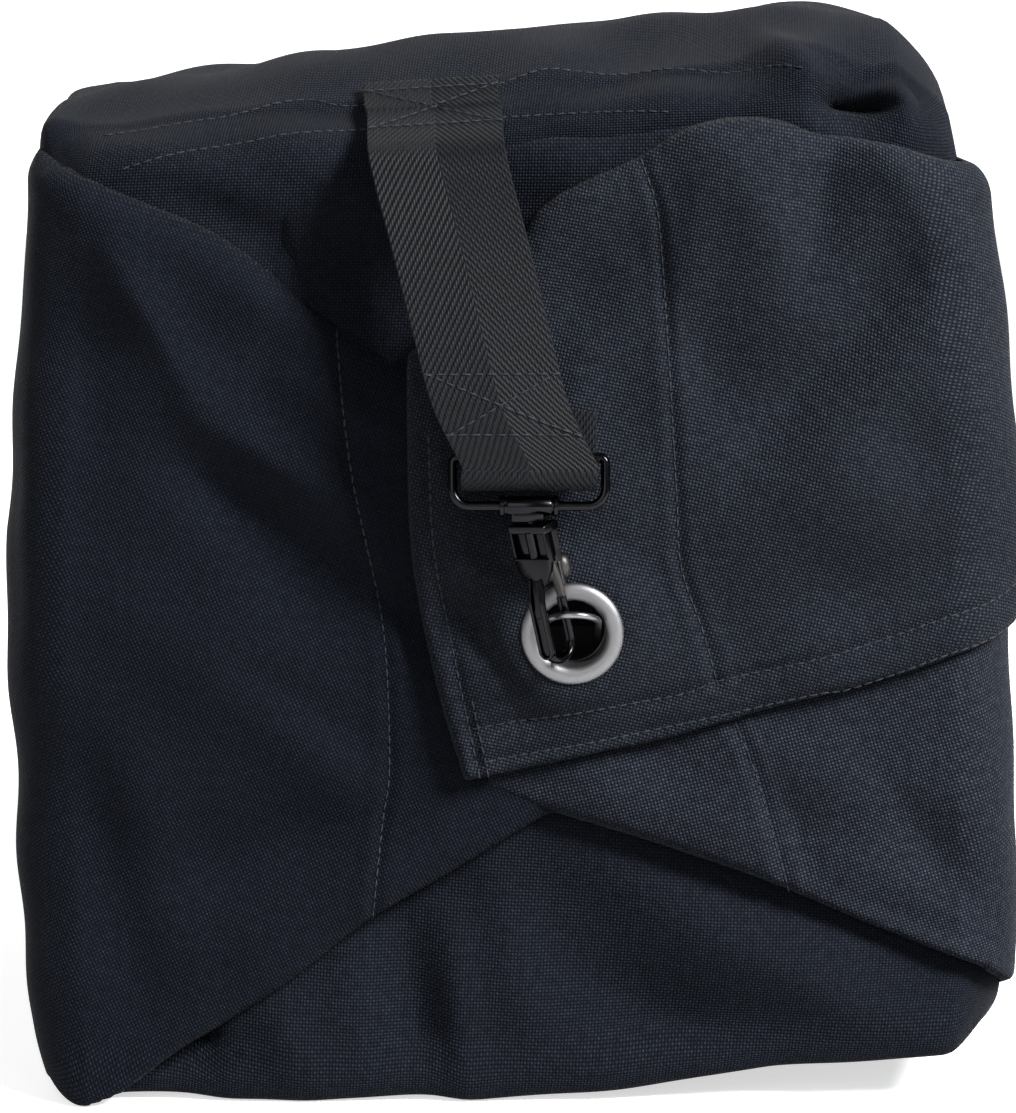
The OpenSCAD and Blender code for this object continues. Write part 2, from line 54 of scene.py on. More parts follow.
bagLow, bagHigh = (np.array(c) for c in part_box("body_shell"))
joints = {j["name"]: j for j in frame["record"]["behaviour"]["joints"]}
eyeletBox = [np.array(c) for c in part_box("outer_eyelet")]
eyeletMid = (eyeletBox[0] + eyeletBox[1]) / 2
barPoint = np.array(joints["swivel_tilt"]["pos_m"])      # middle of the ring's lower bar
topBarPoint = np.array(joints["ring_swing"]["pos_m"])    # middle of the ring's upper bar
barAxis = -np.array(joints["ring_swing"]["axis"])        # along both bars, to the right
layerY = {name: (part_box(name)[0][1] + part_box(name)[1][1]) / 2
          for name in ("bottom_tuck", "top_tuck", "left_flap", "right_flap")}

bag = {                       # the filled body, in mm
    "edge": 18,               # rounding of its edges
    "rearDrop": (30, 14),     # how far the top sinks to the rear, at its left and right ends
    "rimDrop": 12,            # how far the top sinks to its front rim
    "topTilt": (-4.0, 24.0),  # how much lower and higher the top stands at its left and right ends
    "baseLift": 13,           # how far the right end of the base is drawn up
    "footSquare": 5.5,        # how much squarer the front edge of the base is
    "baseOut": 15,            # how far the foot of the front stands out
    "widen": 3.6,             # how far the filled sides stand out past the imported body
    "sideBulge": 5,
    "topBulge": 5,
    "rearBulge": 7,
    "frontIn": 5,             # how far the body's front lies behind the CAD front wall
    "grid": 104,              # faces along each side of a face of the form
}
halfSize = (bagHigh - bagLow) / 2 + np.array([bag["widen"], 0, 0]) * mm
bagMid = (bagLow + bagHigh) / 2
bagHeight = bagHigh[2] - bagLow[2]


def smooth(a, b, v):
    t = np.clip((v - a) / (b - a), 0, 1)
    return t * t * (3 - 2 * t)


def toLine(p, a, b):
    # distance from points p to the segment a-b
    a, b = np.array(a, float), np.array(b, float)
    d = b - a
    t = np.clip(((p - a) @ d) / max(d @ d, 1e-12), 0, 1)
    return np.linalg.norm(p - a - t[:, None] * d, axis=1), t


def strokes(p, marks):
    # sum of fold strokes at face points p (mm): each (x1, z1, x2, z2, width, height, crispness)
    out = np.zeros(len(p))
    for x1, z1, x2, z2, width, height, crisp in marks:
        d, t = toLine(p, (x1, z1), (x2, z2))
        out += height * np.exp(-(d / width) ** crisp) * (0.35 + 0.65 * np.sin(math.pi * (0.12 + 0.76 * t)))
    return out


waveRng = np.random.default_rng(11)
waveSet = [(waveRng.normal(size=3), waveRng.uniform(0, 6.28), 1.0 / waveRng.uniform(26, 70)) for _ in range(14)]


def undulate(points, size):
    # soft uneven filling under the cloth, in the units of size
    out = np.zeros(len(points))
    for direction, phase, rate in waveSet:
        d = direction / np.linalg.norm(direction)
        out += np.sin(points @ d / mm * rate * 2 * math.pi + phase)
    return out * size / math.sqrt(len(waveSet))


def bagSurface(box):
    # a point on the box round the bag becomes a point and a normal on the filled body
    q = box - bagMid
    h = halfSize.copy()
    r = bag["edge"] * mm
    inner = np.clip(q, -(h - r), h - r)
    d = q - inner
    n = d / np.maximum(np.linalg.norm(d, axis=1), 1e-9)[:, None]
    p = inner + r * n
    u = p / h
    swell = (np.abs(n[:, 0]) * bag["sideBulge"] * (1 - u[:, 1] ** 2) * (1 - u[:, 2] ** 4)
             + np.clip(n[:, 2], 0, 1) * bag["topBulge"] * (1 - u[:, 0] ** 2) * (1 - u[:, 1] ** 2)
             + np.clip(n[:, 1], 0, 1) * bag["rearBulge"] * (1 - u[:, 0] ** 2) * (1 - u[:, 2] ** 2)) * mm
    swell -= np.abs(n[:, 0]) * bag["sideBulge"] * mm * 0.9
    swell -= np.clip(n[:, 2], 0, 1) * bag["topBulge"] * mm * 0.8
    swell -= np.clip(n[:, 1], 0, 1) * bag["rearBulge"] * mm * 0.9
    p = p + n * swell[:, None] + bagMid
    # the bag narrows to its top and base
    z = p[:, 2] / bagHeight
    left = 1 - 0.052 * np.clip((0.40 - z) / 0.40, 0, 1) ** 1.5 - 0.062 * np.clip((z - 0.55) / 0.45, 0, 1)
    right = 1 + 0.025 * smooth(0.5, 0.2, z) - 0.030 * np.clip((0.16 - z) / 0.16, 0, 1) ** 2 \
        - 0.135 * np.clip((z - 0.55) / 0.45, 0, 1) ** 1.35
    p[:, 0] *= np.where(p[:, 0] < 0, left, right)
    # the top tilts up to the right and sinks to the rear; the base is drawn up on the right
    across = np.clip(p[:, 0] / halfSize[0], -1, 1)
    deep = np.clip((p[:, 1] - bagLow[1]) / (2 * halfSize[1]), 0, 1)
    ends = lambda pair: (pair[0] + pair[1]) / 2 + (pair[1] - pair[0]) / 2 * across
    rise = (ends(bag["topTilt"]) - 13 * smooth(0.62, 1.0, across) - ends(bag["rearDrop"]) * deep ** 2
            - bag["rimDrop"] * np.clip(1 - deep / 0.26, 0, 1) ** 1.5)
    p[:, 2] += rise * mm * smooth(0.6, 1.0, z)
    p[:, 2] += bag["baseLift"] * mm * smooth(-0.1, 1.0, across) * smooth(0.22, 0.0, z) * smooth(0.45, 0.05, deep)
    p[:, 1] -= bag["baseOut"] * mm * smooth(0.28, 0.0, z) * smooth(0.5, 0.0, deep)
    corner = 4 * n[:, 0] ** 2 * n[:, 2] ** 2 * (n[:, 0] < 0) * (n[:, 2] > 0) * 3.5 * mm
    p[:, 0] -= corner
    p[:, 2] += corner
    square = 4 * n[:, 1] ** 2 * n[:, 2] ** 2 * (n[:, 1] < 0) * (n[:, 2] < 0) * bag["footSquare"] * mm
    p[:, 1] -= square
    p[:, 2] -= square
    return p, n


def frontBox(pq):
    # a point of the unfolded front, in metres, becomes a point on the box: past a side it turns to the rear
    x = np.clip(pq[:, 0], -halfSize[0], halfSize[0])
    back = np.abs(pq[:, 0]) - np.abs(x)
    return np.stack([x, bagMid[1] - halfSize[1] + back, pq[:, 1]], axis=1)


bodyFolds = [                 # strokes on the body's front, mm from the middle and over the base
    # hollow behind the strap
    (-14, 242, 30, 224, 20, -6, 2), (-50, 240, -32, 222, 11, -6, 2), (12, 262, 26, 240, 9, -5, 1.8),
    (28, 248, 62, 264, 9, -6, 1.8), (64, 300, 88, 279, 5.5, 4.5, 1.7), (100, 297, 92, 280, 7, -5, 1.8),
    (-60, 262, -30, 240, 10, 4, 1.8), (-104, 262, -62, 246, 9, 4, 1.8), (-90, 252, -56, 232, 8, -4, 1.8),
             (20, 286, 60, 292, 9, -3, 1.8),
    (-30, 52, -22, 8, 9, -5, 1.8), (-16, 46, -12, 4, 6, 4, 1.7), (-66, 26, -56, 6, 10, 5, 1.8),
             (-44, 40, -40, 8, 9, 3, 1.8),
    (10, 74, 60, 46, 12, 5, 1.8), (60, 44, 116, 18, 11, 6, 1.8), (16, 36, 70, 8, 13, -5, 1.8),
             (-6, 66, 6, 20, 9, 3, 1.8),
]


def faceHollows(p):
    # hollows in the body's front that every layer over it follows a little: p in mm
    pocket = np.exp(-(((p[:, 0] - 95) / 9) ** 2 + ((p[:, 1] - 276) / 7) ** 2) ** 1.5)
    return -20 * pocket


def roughness(n):
    # how uneven the filling is under each side of the bag, mm
    return 0.7 * np.clip(-n[:, 1], 0, 1) + 1.2 * np.clip(n[:, 2], 0,
                                                         1) + 0.6 * np.abs(n[:, 0]) + 1.4 * np.clip(n[:, 1], 0, 1)


def bodyPoints(box):
    p, n = bagSurface(box)
    rim = smooth(bagLow[1] + 60 * mm, bagLow[1] + 20 * mm, p[:, 1])
    front = np.clip(-n[:, 1] + 0.8 * np.clip(n[:, 2], 0, 1) * rim, 0, 1)
    face = np.stack([p[:, 0], p[:, 2]], axis=1) / mm
    tunnel = np.exp(-((face[:, 0] + 99) / 17) ** 4 - ((face[:, 1] - 12) / 10) ** 2)     # open end of the lowest fold
    depth = strokes(face, bodyFolds) + faceHollows(face) - bag["frontIn"] - 17 * tunnel
    rough = undulate(p, 1.0)
    depth = depth * front + rough * roughness(n)
    p = p + n * (depth * mm)[:, None]
    # the pit that the staple's front plate lies in
    seat = np.hypot(p[:, 0] - eyeletMid[0], p[:, 2] - eyeletMid[2] + 3 * mm) / mm
    w = smooth(27, 16, seat) * front
    p[:, 1] = p[:, 1] * (1 - w) + (layerY["bottom_tuck"] + 0.4 * mm) * w
    p[:, 2] = np.maximum(p[:, 2], 0.0)
    return p


def makeMesh(name, verts, faces, uvs=None, material=None):
    mesh = bpy.data.meshes.new(name)
    mesh.from_pydata([tuple(v) for v in verts], [], [tuple(int(i) for i in f) for f in faces])
    if uvs is not None:
        layer = mesh.uv_layers.new(name="cloth")
        index = np.zeros(len(mesh.loops), np.int32)
        mesh.loops.foreach_get("vertex_index", index)
        layer.data.foreach_set("uv", np.asarray(uvs, np.float32)[index].ravel())
    mesh.polygons.foreach_set("use_smooth", [True] * len(mesh.polygons))
    mesh.update()
    obj = bpy.data.objects.new(name, mesh)
    bpy.context.scene.collection.objects.link(obj)
    if material:
        mesh.materials.append(material)
    return obj


def hexLinear(code):
    # sRGB hex as the linear colour that the shader wants
    c = [int(code[i:i + 2], 16) / 255 for i in (0, 2, 4)]
    return tuple(v / 12.92 if v <= 0.04045 else ((v + 0.055) / 1.055) ** 2.4 for v in c) + (1.0,)


def startMaterial(name, **settings):
    mat = bpy.data.materials.new(name)
    mat.use_nodes = True
    shader = mat.node_tree.nodes["Principled BSDF"]
    for key, value in settings.items():
        shader.inputs[key].default_value = value
    return mat, mat.node_tree, shader


def addNode(tree, kind, links=None, **settings):
    # one node with its settings; links are input name or index -> output socket
    node = tree.nodes.new(kind)
    for key, value in settings.items():
        if key.startswith("in_"):
            node.inputs[int(key[3:])].default_value = value
        else:
            setattr(node, key, value)
    for key, socket in (links or {}).items():
        tree.links.new(socket, node.inputs[key])
    return node


def wovenMaterial(name, dark, light, turn=0.0, pitch=0.9, rough=0.78, sheen=0.02):
    # plain-woven coated nylon: each thread crossing is a small bump, every other one turned, dull with a faint sheen
    mat, tree, shader = startMaterial(name, **{"Roughness": rough, "Sheen Weight": sheen, "Sheen Roughness": 0.45,
                                               "Specular IOR Level": 0.05})
    coord = addNode(tree, "ShaderNodeUVMap", uv_map="cloth")
    turned = addNode(tree, "ShaderNodeMapping", {0: coord.outputs[0]})
    turned.inputs["Rotation"].default_value = (0, 0, math.radians(turn))
    wander = addNode(tree, "ShaderNodeTexNoise", {"Vector": coord.outputs[0]})
    wander.inputs["Scale"].default_value = 60.0
    wander.inputs["Detail"].default_value = 2.0
    shifted = addNode(tree, "ShaderNodeVectorMath", {0: wander.outputs["Color"]}, operation="SCALE")
    shifted.inputs["Scale"].default_value = 0.45 * pitch * mm          # threads wander by half a thread
    placed = addNode(tree, "ShaderNodeVectorMath", {0: turned.outputs[0], 1: shifted.outputs[0]}, operation="ADD")
    split = addNode(tree, "ShaderNodeSeparateXYZ", {0: placed.outputs[0]})
    waves = []
    for axis in (0, 1):
        scaled = addNode(tree, "ShaderNodeMath", {0: split.outputs[axis]}, operation="MULTIPLY",
                         in_1=math.pi / (pitch * mm))
        waves.append(addNode(tree, "ShaderNodeMath", {0: scaled.outputs[0]}, operation="SINE"))
    cross = addNode(tree, "ShaderNodeMath", {0: waves[0].outputs[0], 1: waves[1].outputs[0]}, operation="MULTIPLY")
    bump1 = addNode(tree, "ShaderNodeMath", {0: cross.outputs[0]}, operation="ABSOLUTE")
    over = addNode(tree, "ShaderNodeMath", {0: cross.outputs[0]}, operation="MULTIPLY_ADD", in_1=0.28, in_2=0.0)
    height = addNode(tree, "ShaderNodeMath", {0: bump1.outputs[0], 1: over.outputs[0]}, operation="ADD")
    mottle = addNode(tree, "ShaderNodeTexNoise", {"Vector": coord.outputs[0]})
    mottle.inputs["Scale"].default_value = 420.0                       # uneven dye, about 2 mm patches
    mottle.inputs["Detail"].default_value = 3.0
    cloudy = addNode(tree, "ShaderNodeTexNoise", {"Vector": coord.outputs[0]})
    cloudy.inputs["Scale"].default_value = 22.0                        # broad handling wear, about 45 mm
    cloudy.inputs["Detail"].default_value = 4.0
    # The weave's height also sets the colour: thread crossings lighter and the hollows between them darker, a painted
    # shade on top of the bump, mixed with the uneven dye and the broad patches.
    mixA = addNode(tree, "ShaderNodeMath", {0: height.outputs[0], 1: mottle.outputs[0]}, operation="MULTIPLY")
    patch = addNode(tree, "ShaderNodeMapRange", {0: cloudy.outputs[0]})
    patch.inputs["To Min"].default_value = 0.42
    patch.inputs["To Max"].default_value = 0.62
    mixB = addNode(tree, "ShaderNodeMath", {0: mixA.outputs[0], 1: patch.outputs[0]}, operation="MULTIPLY")
    ramp = addNode(tree, "ShaderNodeValToRGB", {0: mixB.outputs[0]})
    ramp.color_ramp.elements[0].position = 0.02
    ramp.color_ramp.elements[0].color = hexLinear(dark)
    ramp.color_ramp.elements[1].position = 0.42
    ramp.color_ramp.elements[1].color = hexLinear(light)
    tree.links.new(ramp.outputs[0], shader.inputs["Base Color"])
    bump = addNode(tree, "ShaderNodeBump", {"Height": height.outputs[0]})
    bump.inputs["Strength"].default_value = 0.9
    bump.inputs["Distance"].default_value = 0.30 * mm
    tree.links.new(bump.outputs[0], shader.inputs["Normal"])
    return mat


# One coated nylon in four tones: the left fold's copy is darker as painted shade, the right fold's and the under
# fold's copies are lighter as painted light, standing in for the key light's fall from the right; the body copy keeps
# the middle tone.
bodyCloth = wovenMaterial("coated nylon body", "05070b", "252a36", turn=4)
leftClothPaintedShade = wovenMaterial("coated nylon left fold painted shade", "04060a", "1e2330", turn=-24)
rightClothPaintedLight = wovenMaterial("coated nylon right fold painted light", "090b10", "353b45", turn=14)
underClothPaintedLight = wovenMaterial("coated nylon under fold painted light", "090b10", "3b414d", turn=-14)
print("stage: cloth materials")


def makeBody():
    n = bag["grid"]
    grid = np.linspace(-1, 1, n + 1)
    low, high = bagMid - halfSize, bagMid + halfSize
    verts, faces, uvs = [], [], []
    start = 0
    # each side of the box: fixed axis, its sign, the two axes across it
    for axis, sign, a, b in ((1, -1, 0, 2), (1, 1, 0, 2), (0, -1, 1, 2), (0, 1, 1, 2), (2, 1, 0, 1), (2, -1, 0, 1)):
        g, k = np.meshgrid(grid, grid, indexing="ij")
        box = np.zeros(((n + 1) ** 2, 3))
        box[:, a] = bagMid[a] + g.ravel() * halfSize[a]
        box[:, b] = bagMid[b] + k.ravel() * halfSize[b]
        box[:, axis] = bagMid[axis] + sign * halfSize[axis]
        verts.append(bodyPoints(box))
        if axis == 0:
            uv = np.stack([sign * (halfSize[0] + box[:, 1] - low[1]), box[:, 2]], axis=1)
        elif axis == 2:
            uv = np.stack([box[:, 0], sign * (bagHeight + box[:, 1] - low[1])], axis=1)
        else:
            uv = np.stack([box[:, 0], box[:, 2] + (sign > 0) * 0.5], axis=1)
        uvs.append(uv)
        idx = np.arange((n + 1) ** 2).reshape(n + 1, n + 1) + start
        quad = np.stack([idx[:-1, :-1], idx[1:, :-1], idx[1:, 1:], idx[:-1, 1:]], axis=-1).reshape(-1, 4)
        flip = (sign > 0) == (axis == 1)
        faces.append(quad[:, ::-1] if flip else quad)
        start += (n + 1) ** 2
    verts, faces, uvs = np.concatenate(verts), np.concatenate(faces), np.concatenate(uvs)
    obj = makeMesh("bag_body", verts, faces, uvs, bodyCloth)
    bm = bmesh.new()
    bm.from_mesh(obj.data)
    bmesh.ops.remove_doubles(bm, verts=bm.verts, dist=0.02 * mm)
    bmesh.ops.recalc_face_normals(bm, faces=bm.faces)
    bm.to_mesh(obj.data)
    bm.free()
    return obj


def along(points, step, closed=False):
    # points spaced evenly along a line
    p = np.array(points, float)
    if closed:
        p = np.vstack([p, p[:1]])
    s = np.concatenate([[0], np.cumsum(np.linalg.norm(np.diff(p, axis=0), axis=1))])
    t = np.linspace(0, s[-1], max(2, int(round(s[-1] / step)) + 1))
    out = np.stack([np.interp(t, s, p[:, k]) for k in range(p.shape[1])], axis=1)
    return out[:-1] if closed else out


def curveThrough(points, step=1.0):
    # smooth line through points, evenly spaced
    p = np.array(points, float)
    ext = np.vstack([2 * p[0] - p[1], p, 2 * p[-1] - p[-2]])
    out = []
    for i in range(1, len(ext) - 2):
        a, b, c, d = ext[i - 1:i + 3]
        for t in np.linspace(0, 1, 16, endpoint=False):
            out.append(0.5 * (2 * b + (c - a) * t + (2 * a - 5 * b + 4 * c - d) * t * t
                              + (3 * b - a - 3 * c + d) * t ** 3))
    out.append(ext[-2])
    return along(out, step)


def lineDistance(p, line):
    best = np.full(len(p), 1e9)
    for a, b in zip(line[:-1], line[1:]):
        d, _ = toLine(p, a, b)
        best = np.minimum(best, d)
    return best


def isInside(points, outline):
    # which points lie inside a closed outline, by how often it crosses the row of each
    inside = np.zeros(len(points), bool)
    for a, b in zip(outline, np.roll(outline, -1, axis=0)):
        crosses = (a[1] > points[:, 1]) != (b[1] > points[:, 1])
        with np.errstate(divide="ignore", invalid="ignore"):
            x = a[0] + (points[:, 1] - a[1]) * (b[0] - a[0]) / (b[1] - a[1])
        inside ^= crosses & (points[:, 0] < x)
    return inside


def fillOutline(outline, hole, step):
    # triangles inside an outline, on staggered rows; hole is (x, z, radius) or None: all in mm
    edge = along(outline, step, closed=True)
    loops = [edge]
    if hole:
        turns = np.arange(0, 2 * math.pi - 1e-6, step / hole[2])
        turns = np.linspace(0, 2 * math.pi, len(turns), endpoint=False)
        loops.append(np.stack([hole[0] + hole[2] * np.cos(turns), hole[1] + hole[2] * np.sin(turns)], axis=1)[::-1])
    low, high = edge.min(0), edge.max(0)
    rows = np.arange(low[1], high[1], step * 0.866)
    inner = np.concatenate([np.stack([np.arange(low[0] + (i % 2) * step / 2, high[0], step),
                                      np.full(len(np.arange(low[0] + (i % 2) * step / 2, high[0], step)), z)], axis=1)
                            for i, z in enumerate(rows)])
    inner = inner[isInside(inner, edge)]
    near = np.full(len(inner), 1e9)
    for loop in loops:
        coarse = np.vstack([loop, loop[:1]])
        near = np.minimum(near, lineDistance(inner, coarse))
    keep = near > 0.55 * step
    if hole:
        keep &= np.hypot(inner[:, 0] - hole[0], inner[:, 1] - hole[1]) > hole[2] + 0.5 * step
    inner = inner[keep]
    points, edges = [], []
    for loop in loops:
        base = len(points)
        points += [Vector(v) for v in loop]
        edges += [(base + i, base + (i + 1) % len(loop)) for i in range(len(loop))]
    points += [Vector(v) for v in inner]
    result = geometry.delaunay_2d_cdt(points, edges, [], 0, 1e-6)
    verts = np.array([tuple(v) for v in result[0]])
    tris = np.array(result[2], int)
    mid = verts[tris].mean(axis=1)
    ok = isInside(mid, edge)
    if hole:
        ok &= np.hypot(mid[:, 0] - hole[0], mid[:, 1] - hole[1]) > hole[2] * 0.98
    return verts, tris[ok]


def layerPoints(pq, spec):
    # face points in mm of one folded layer become points in the row frame
    box = frontBox(pq * mm)
    p, n = bagSurface(box)
    side = smooth(halfSize[0] / mm, halfSize[0] / mm + 46, np.abs(pq[:, 0]))
    off = spec["stand"] * (1 - side) - 1.2 * side
    fold = strokes(pq, spec["folds"]) + faceHollows(pq) * spec.get("hollow", 0.4)
    off = off + fold * (1 - 0.8 * side) + undulate(p, 1.0) * roughness(n)
    for line, radius, drop in spec["rolls"]:
        d = lineDistance(pq, line)
        t = np.clip(1 - d / radius, 0, 1)
        off = off - drop * (1 - np.sqrt(np.clip(1 - t * t, 0, 1)))
    for line in spec.get("seams", []):
        d = lineDistance(pq, line)
        off = off - 0.75 * np.exp(-(d / 1.4) ** 2) + 0.3 * np.exp(-((d - 3.4) / 1.7) ** 2)
    p = p + n * (off * mm)[:, None]
    if "seatY" in spec:
        r = np.hypot(pq[:, 0] - eyeletMid[0] / mm, pq[:, 1] - eyeletMid[2] / mm)
        w = smooth(spec["seatOut"], spec["seatIn"], r)
        p[:, 1] = p[:, 1] * (1 - w) + spec["seatY"] * w
    return p


def makeLayer(name, spec, material, step):
    hole = (eyeletMid[0] / mm, eyeletMid[2] / mm, spec["hole"]) if "hole" in spec else None
    pq, tris = fillOutline(spec["outline"], hole, step)
    verts = layerPoints(pq, spec)
    a, b, c = (verts[tris[:, i]] for i in range(3))
    facing = np.cross(b - a, c - a)[:, 1].mean()
    tris = tris if facing < 0 else tris[:, ::-1]
    obj = makeMesh(name, verts, tris, pq * mm, material)
    # area of the folded mesh, not of the flat cut; the sheet's area share is 1 by construction
    area = np.linalg.norm(np.cross(b - a, c - a), axis=1).sum() / 2
    wall = obj.modifiers.new("cloth thickness", "SOLIDIFY")
    wall.thickness = clothWall * mm
    wall.offset = -1.0
    return obj, area


sideReach = 196       # how far the folds reach round the sides, unfolded, mm
rightTopEdge = curveThrough([(-28, 208), (0, 236), (8.7, 247), (20, 253), (38, 259), (50, 264.5), (58, 266.5),
                             (70, 267), (82, 265.5), (93, 261), (106, 259.5), (120, 259), (138, 256),
                             (sideReach, 252)], rowStep)
rightLeftEdge = curveThrough([(-28, 208), (-28, 197), (-27, 160), (-24, 137), (-18, 110), (-12, 90)], rowStep)
hemEdge = curveThrough([(-12, 90), (-4, 91.5), (25, 98), (42, 101.5), (71, 110), (108, 120), (137, 130),
                        (sideReach, 146)], rowStep)
hemRowLow = curveThrough([(-8, 94.4), (30, 101.6), (57, 107.5), (84, 113.8), (96, 116), (137, 130.5),
                          (sideReach, 149)], rowStep) + np.array([0, 0.6])
hemRowHigh = curveThrough([(-10, 104.5), (22, 110), (46, 114), (58, 118), (93, 126.6), (137, 141.3),
                           (sideReach, 160)], rowStep)
rightInnerRow = curveThrough([(-21.8, 185), (-20, 153), (-13.6, 119), (-8, 92)], rowStep)
rightSeam = curveThrough([(40, 258), (44, 243), (45, 211), (46, 169.5), (47, 150), (53, 132), (57, 117)], rowStep)
underSeam = curveThrough([(62, 105), (66.8, 92), (71.5, 74), (75.5, 59)], rowStep)
underEdge = curveThrough([(-6, 86.5), (8, 81), (41, 71), (74, 59), (101, 45.5), (126, 32.5), (140, 25),
                          (sideReach, 8)], rowStep)
leftTopEdge = curveThrough([(-sideReach, 276), (-140, 272.5), (-127, 270), (-115, 264), (-102, 257), (-84, 247),
                            (-68, 234), (-59, 225), (-48, 216), (-30, 206), (-10, 196)], rowStep)
leftLowEdge = curveThrough([(10, 78.5), (-16, 63), (-38, 51), (-58, 36.5), (-82, 22), (-100, 13), (-116, 5),
                            (-137, 0.5), (-sideReach, 0)], rowStep)
leftSeam = curveThrough([(-48, 214), (-44, 180), (-39, 155), (-34.5, 132), (-33, 112), (-33, 90), (-35, 77),
                         (-38, 52)], rowStep)

rightSpec = {
    "outline": np.vstack([rightTopEdge, hemEdge[::-1], rightLeftEdge[::-1][1:-1]]),
    "stand": 10.5, "hollow": 1.0, "hole": 9.9, "seatY": layerY["right_flap"] - 0.6 * mm,
    "seatIn": 15, "seatOut": 30,
    "rolls": [(rightTopEdge, 9, 7.0), (rightLeftEdge, 3.2, 2.6), (hemEdge, 2.2, 1.6)],
    "seams": [hemRowLow, hemRowHigh, rightInnerRow, rightSeam],
    "folds": [
        (120, 230, 103, 217, 8, -4.6, 1.6), (103, 217, 81, 197, 8, -5.4, 1.6), (81, 197, 64, 178, 9, -3.6, 1.7),
        (99, 262, 86, 228, 9, -5.2, 1.7), (62, 262, 88, 222, 13, 4.4, 1.9), (112, 262, 124, 236, 9, 3.6, 1.9),
        (118, 208, 84, 172, 13, 4.6, 1.9), (-18, 138, -5, 126, 6, -4.4, 1.7), (-5, 126, 3, 116, 5, -3.6, 1.7),
        (-11, 150, -3, 146, 5, 3.0, 1.9), (-12, 128, -4, 116, 5, 2.4, 1.9), (32, 232, 8, 212, 11, -5.0, 1.9),
              (22, 206, 12, 176, 9, 3.4, 1.9),
        (-23, 200, -15, 150, 8, 2.6, 1.9), (40, 160, 112, 170, 22, 3.0, 1.9), (60, 134, 126, 152, 10, -2.6, 1.9),
        (44, 230, 60, 190, 10, -2.4, 1.9), (100, 190, 128, 176, 12, -2.4, 1.9), (56, 250, 46, 200, 7, 2.2, 1.9),
    ],
}
underSpec = {
    "outline": np.vstack([underEdge, [(sideReach, 150), (137, 140), (70, 116), (20, 108), (-4, 100)]]),
    "stand": 4.5, "rolls": [(underEdge, 4.5, 3.4)], "seams": [underSeam], "hollow": 0.2,
    "folds": [(20, 88, 90, 66, 11, 2.8, 1.9), (60, 98, 130, 80, 14, 3.4, 1.9), (100, 92, 128, 50, 8, -3.0, 1.9),
              (90, 56, 128, 40, 6, -2.2, 1.8), (70, 92, 84, 60, 6, -1.8, 1.8)],
}
leftSpec = {
    "outline": np.vstack([leftTopEdge, [(20, 186), (38, 170), (40, 110), (24, 86)], leftLowEdge]),
    "stand": 3.6, "hole": 9.9, "seatY": layerY["left_flap"], "seatIn": 16, "seatOut": 30, "hollow": 0.2,
    "rolls": [(leftTopEdge, 11, 9.0), (leftLowEdge, 4.5, 3.6)],
    "seams": [leftSeam],
    "folds": [
        (-89, 176, -60, 153, 10, -6.6, 1.7), (-60, 153, -21, 131, 10, -5.6, 1.7),
              (-124, 248, -117, 190, 9, -3.2, 1.8),
        (-112, 244, -88, 198, 8, 5.6, 1.6), (-84, 190, -48, 168, 8, 4.4, 1.7), (-104, 214, -70, 214, 12, -3.0, 1.9),
        (-100, 132, -50, 102, 18, 4.2, 1.9), (-90, 62, -40, 78, 12, -4.2, 1.9), (-118, 90, -104, 30, 11, -4.0, 1.9),
        (-70, 44, -20, 72, 9, 3.8, 1.9), (-129, 200, -126, 120, 10, 3.0, 1.9), (-60, 202, -36, 188, 7, 3.6, 1.8),
        (-70, 120, -36, 96, 8, -3.0, 1.8), (-110, 110, -96, 60, 12, 3.0, 1.9),
    ],
}
topSpec = {
    "outline": np.array([(-72, 266), (70, 266), (46, 120), (-6, 110), (-36, 160)], float),
    "stand": -1.5, "hole": 9.9, "seatY": layerY["top_tuck"], "seatIn": 16, "seatOut": 30,
    "rolls": [(np.array([(-72, 266), (70, 266)], float), 14, 6), (np.array([(-72, 266), (-36, 160)], float), 16, 6),
              (np.array([(70, 266), (46, 120)], float), 10, 5)],
    "hollow": 0.0,
    "folds": bodyFolds[:2] + [(-40, 228, 20, 236, 30, -3, 2)],
}

pieces = {}
pieces["body"] = makeBody()
pieces["right"], rightArea = makeLayer("right_flap_cloth", rightSpec, rightClothPaintedLight, 1.0)
pieces["under"], underArea = makeLayer("right_under_cloth", underSpec, underClothPaintedLight, 1.4)
pieces["left"], leftArea = makeLayer("left_flap_cloth", leftSpec, leftClothPaintedShade, 1.25)
pieces["top"], topArea = makeLayer("top_tuck_cloth", topSpec, bodyCloth, 2.0)
print("stage: folded layers", [len(o.data.polygons) for o in pieces.values()])

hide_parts("body_shell", "rear_panel", "bottom_tuck", "mouth_band")
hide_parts("right_flap", "flap_hem")
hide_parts("right_under_flap")
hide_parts("left_flap")
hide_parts("top_tuck")
for piece in pieces.values():
    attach(piece, "root")

strap = {                     # mm
    "width": 37.0, "endWidth": 36.4, "thickness": 1.5,
    "sewnEnd": (-22.5, 21),
    "loop": 5.0,              # middle radius of the fold round the ring
    "loopDrop": 3.2,          # how far the fold hangs below the ring's upper bar
}


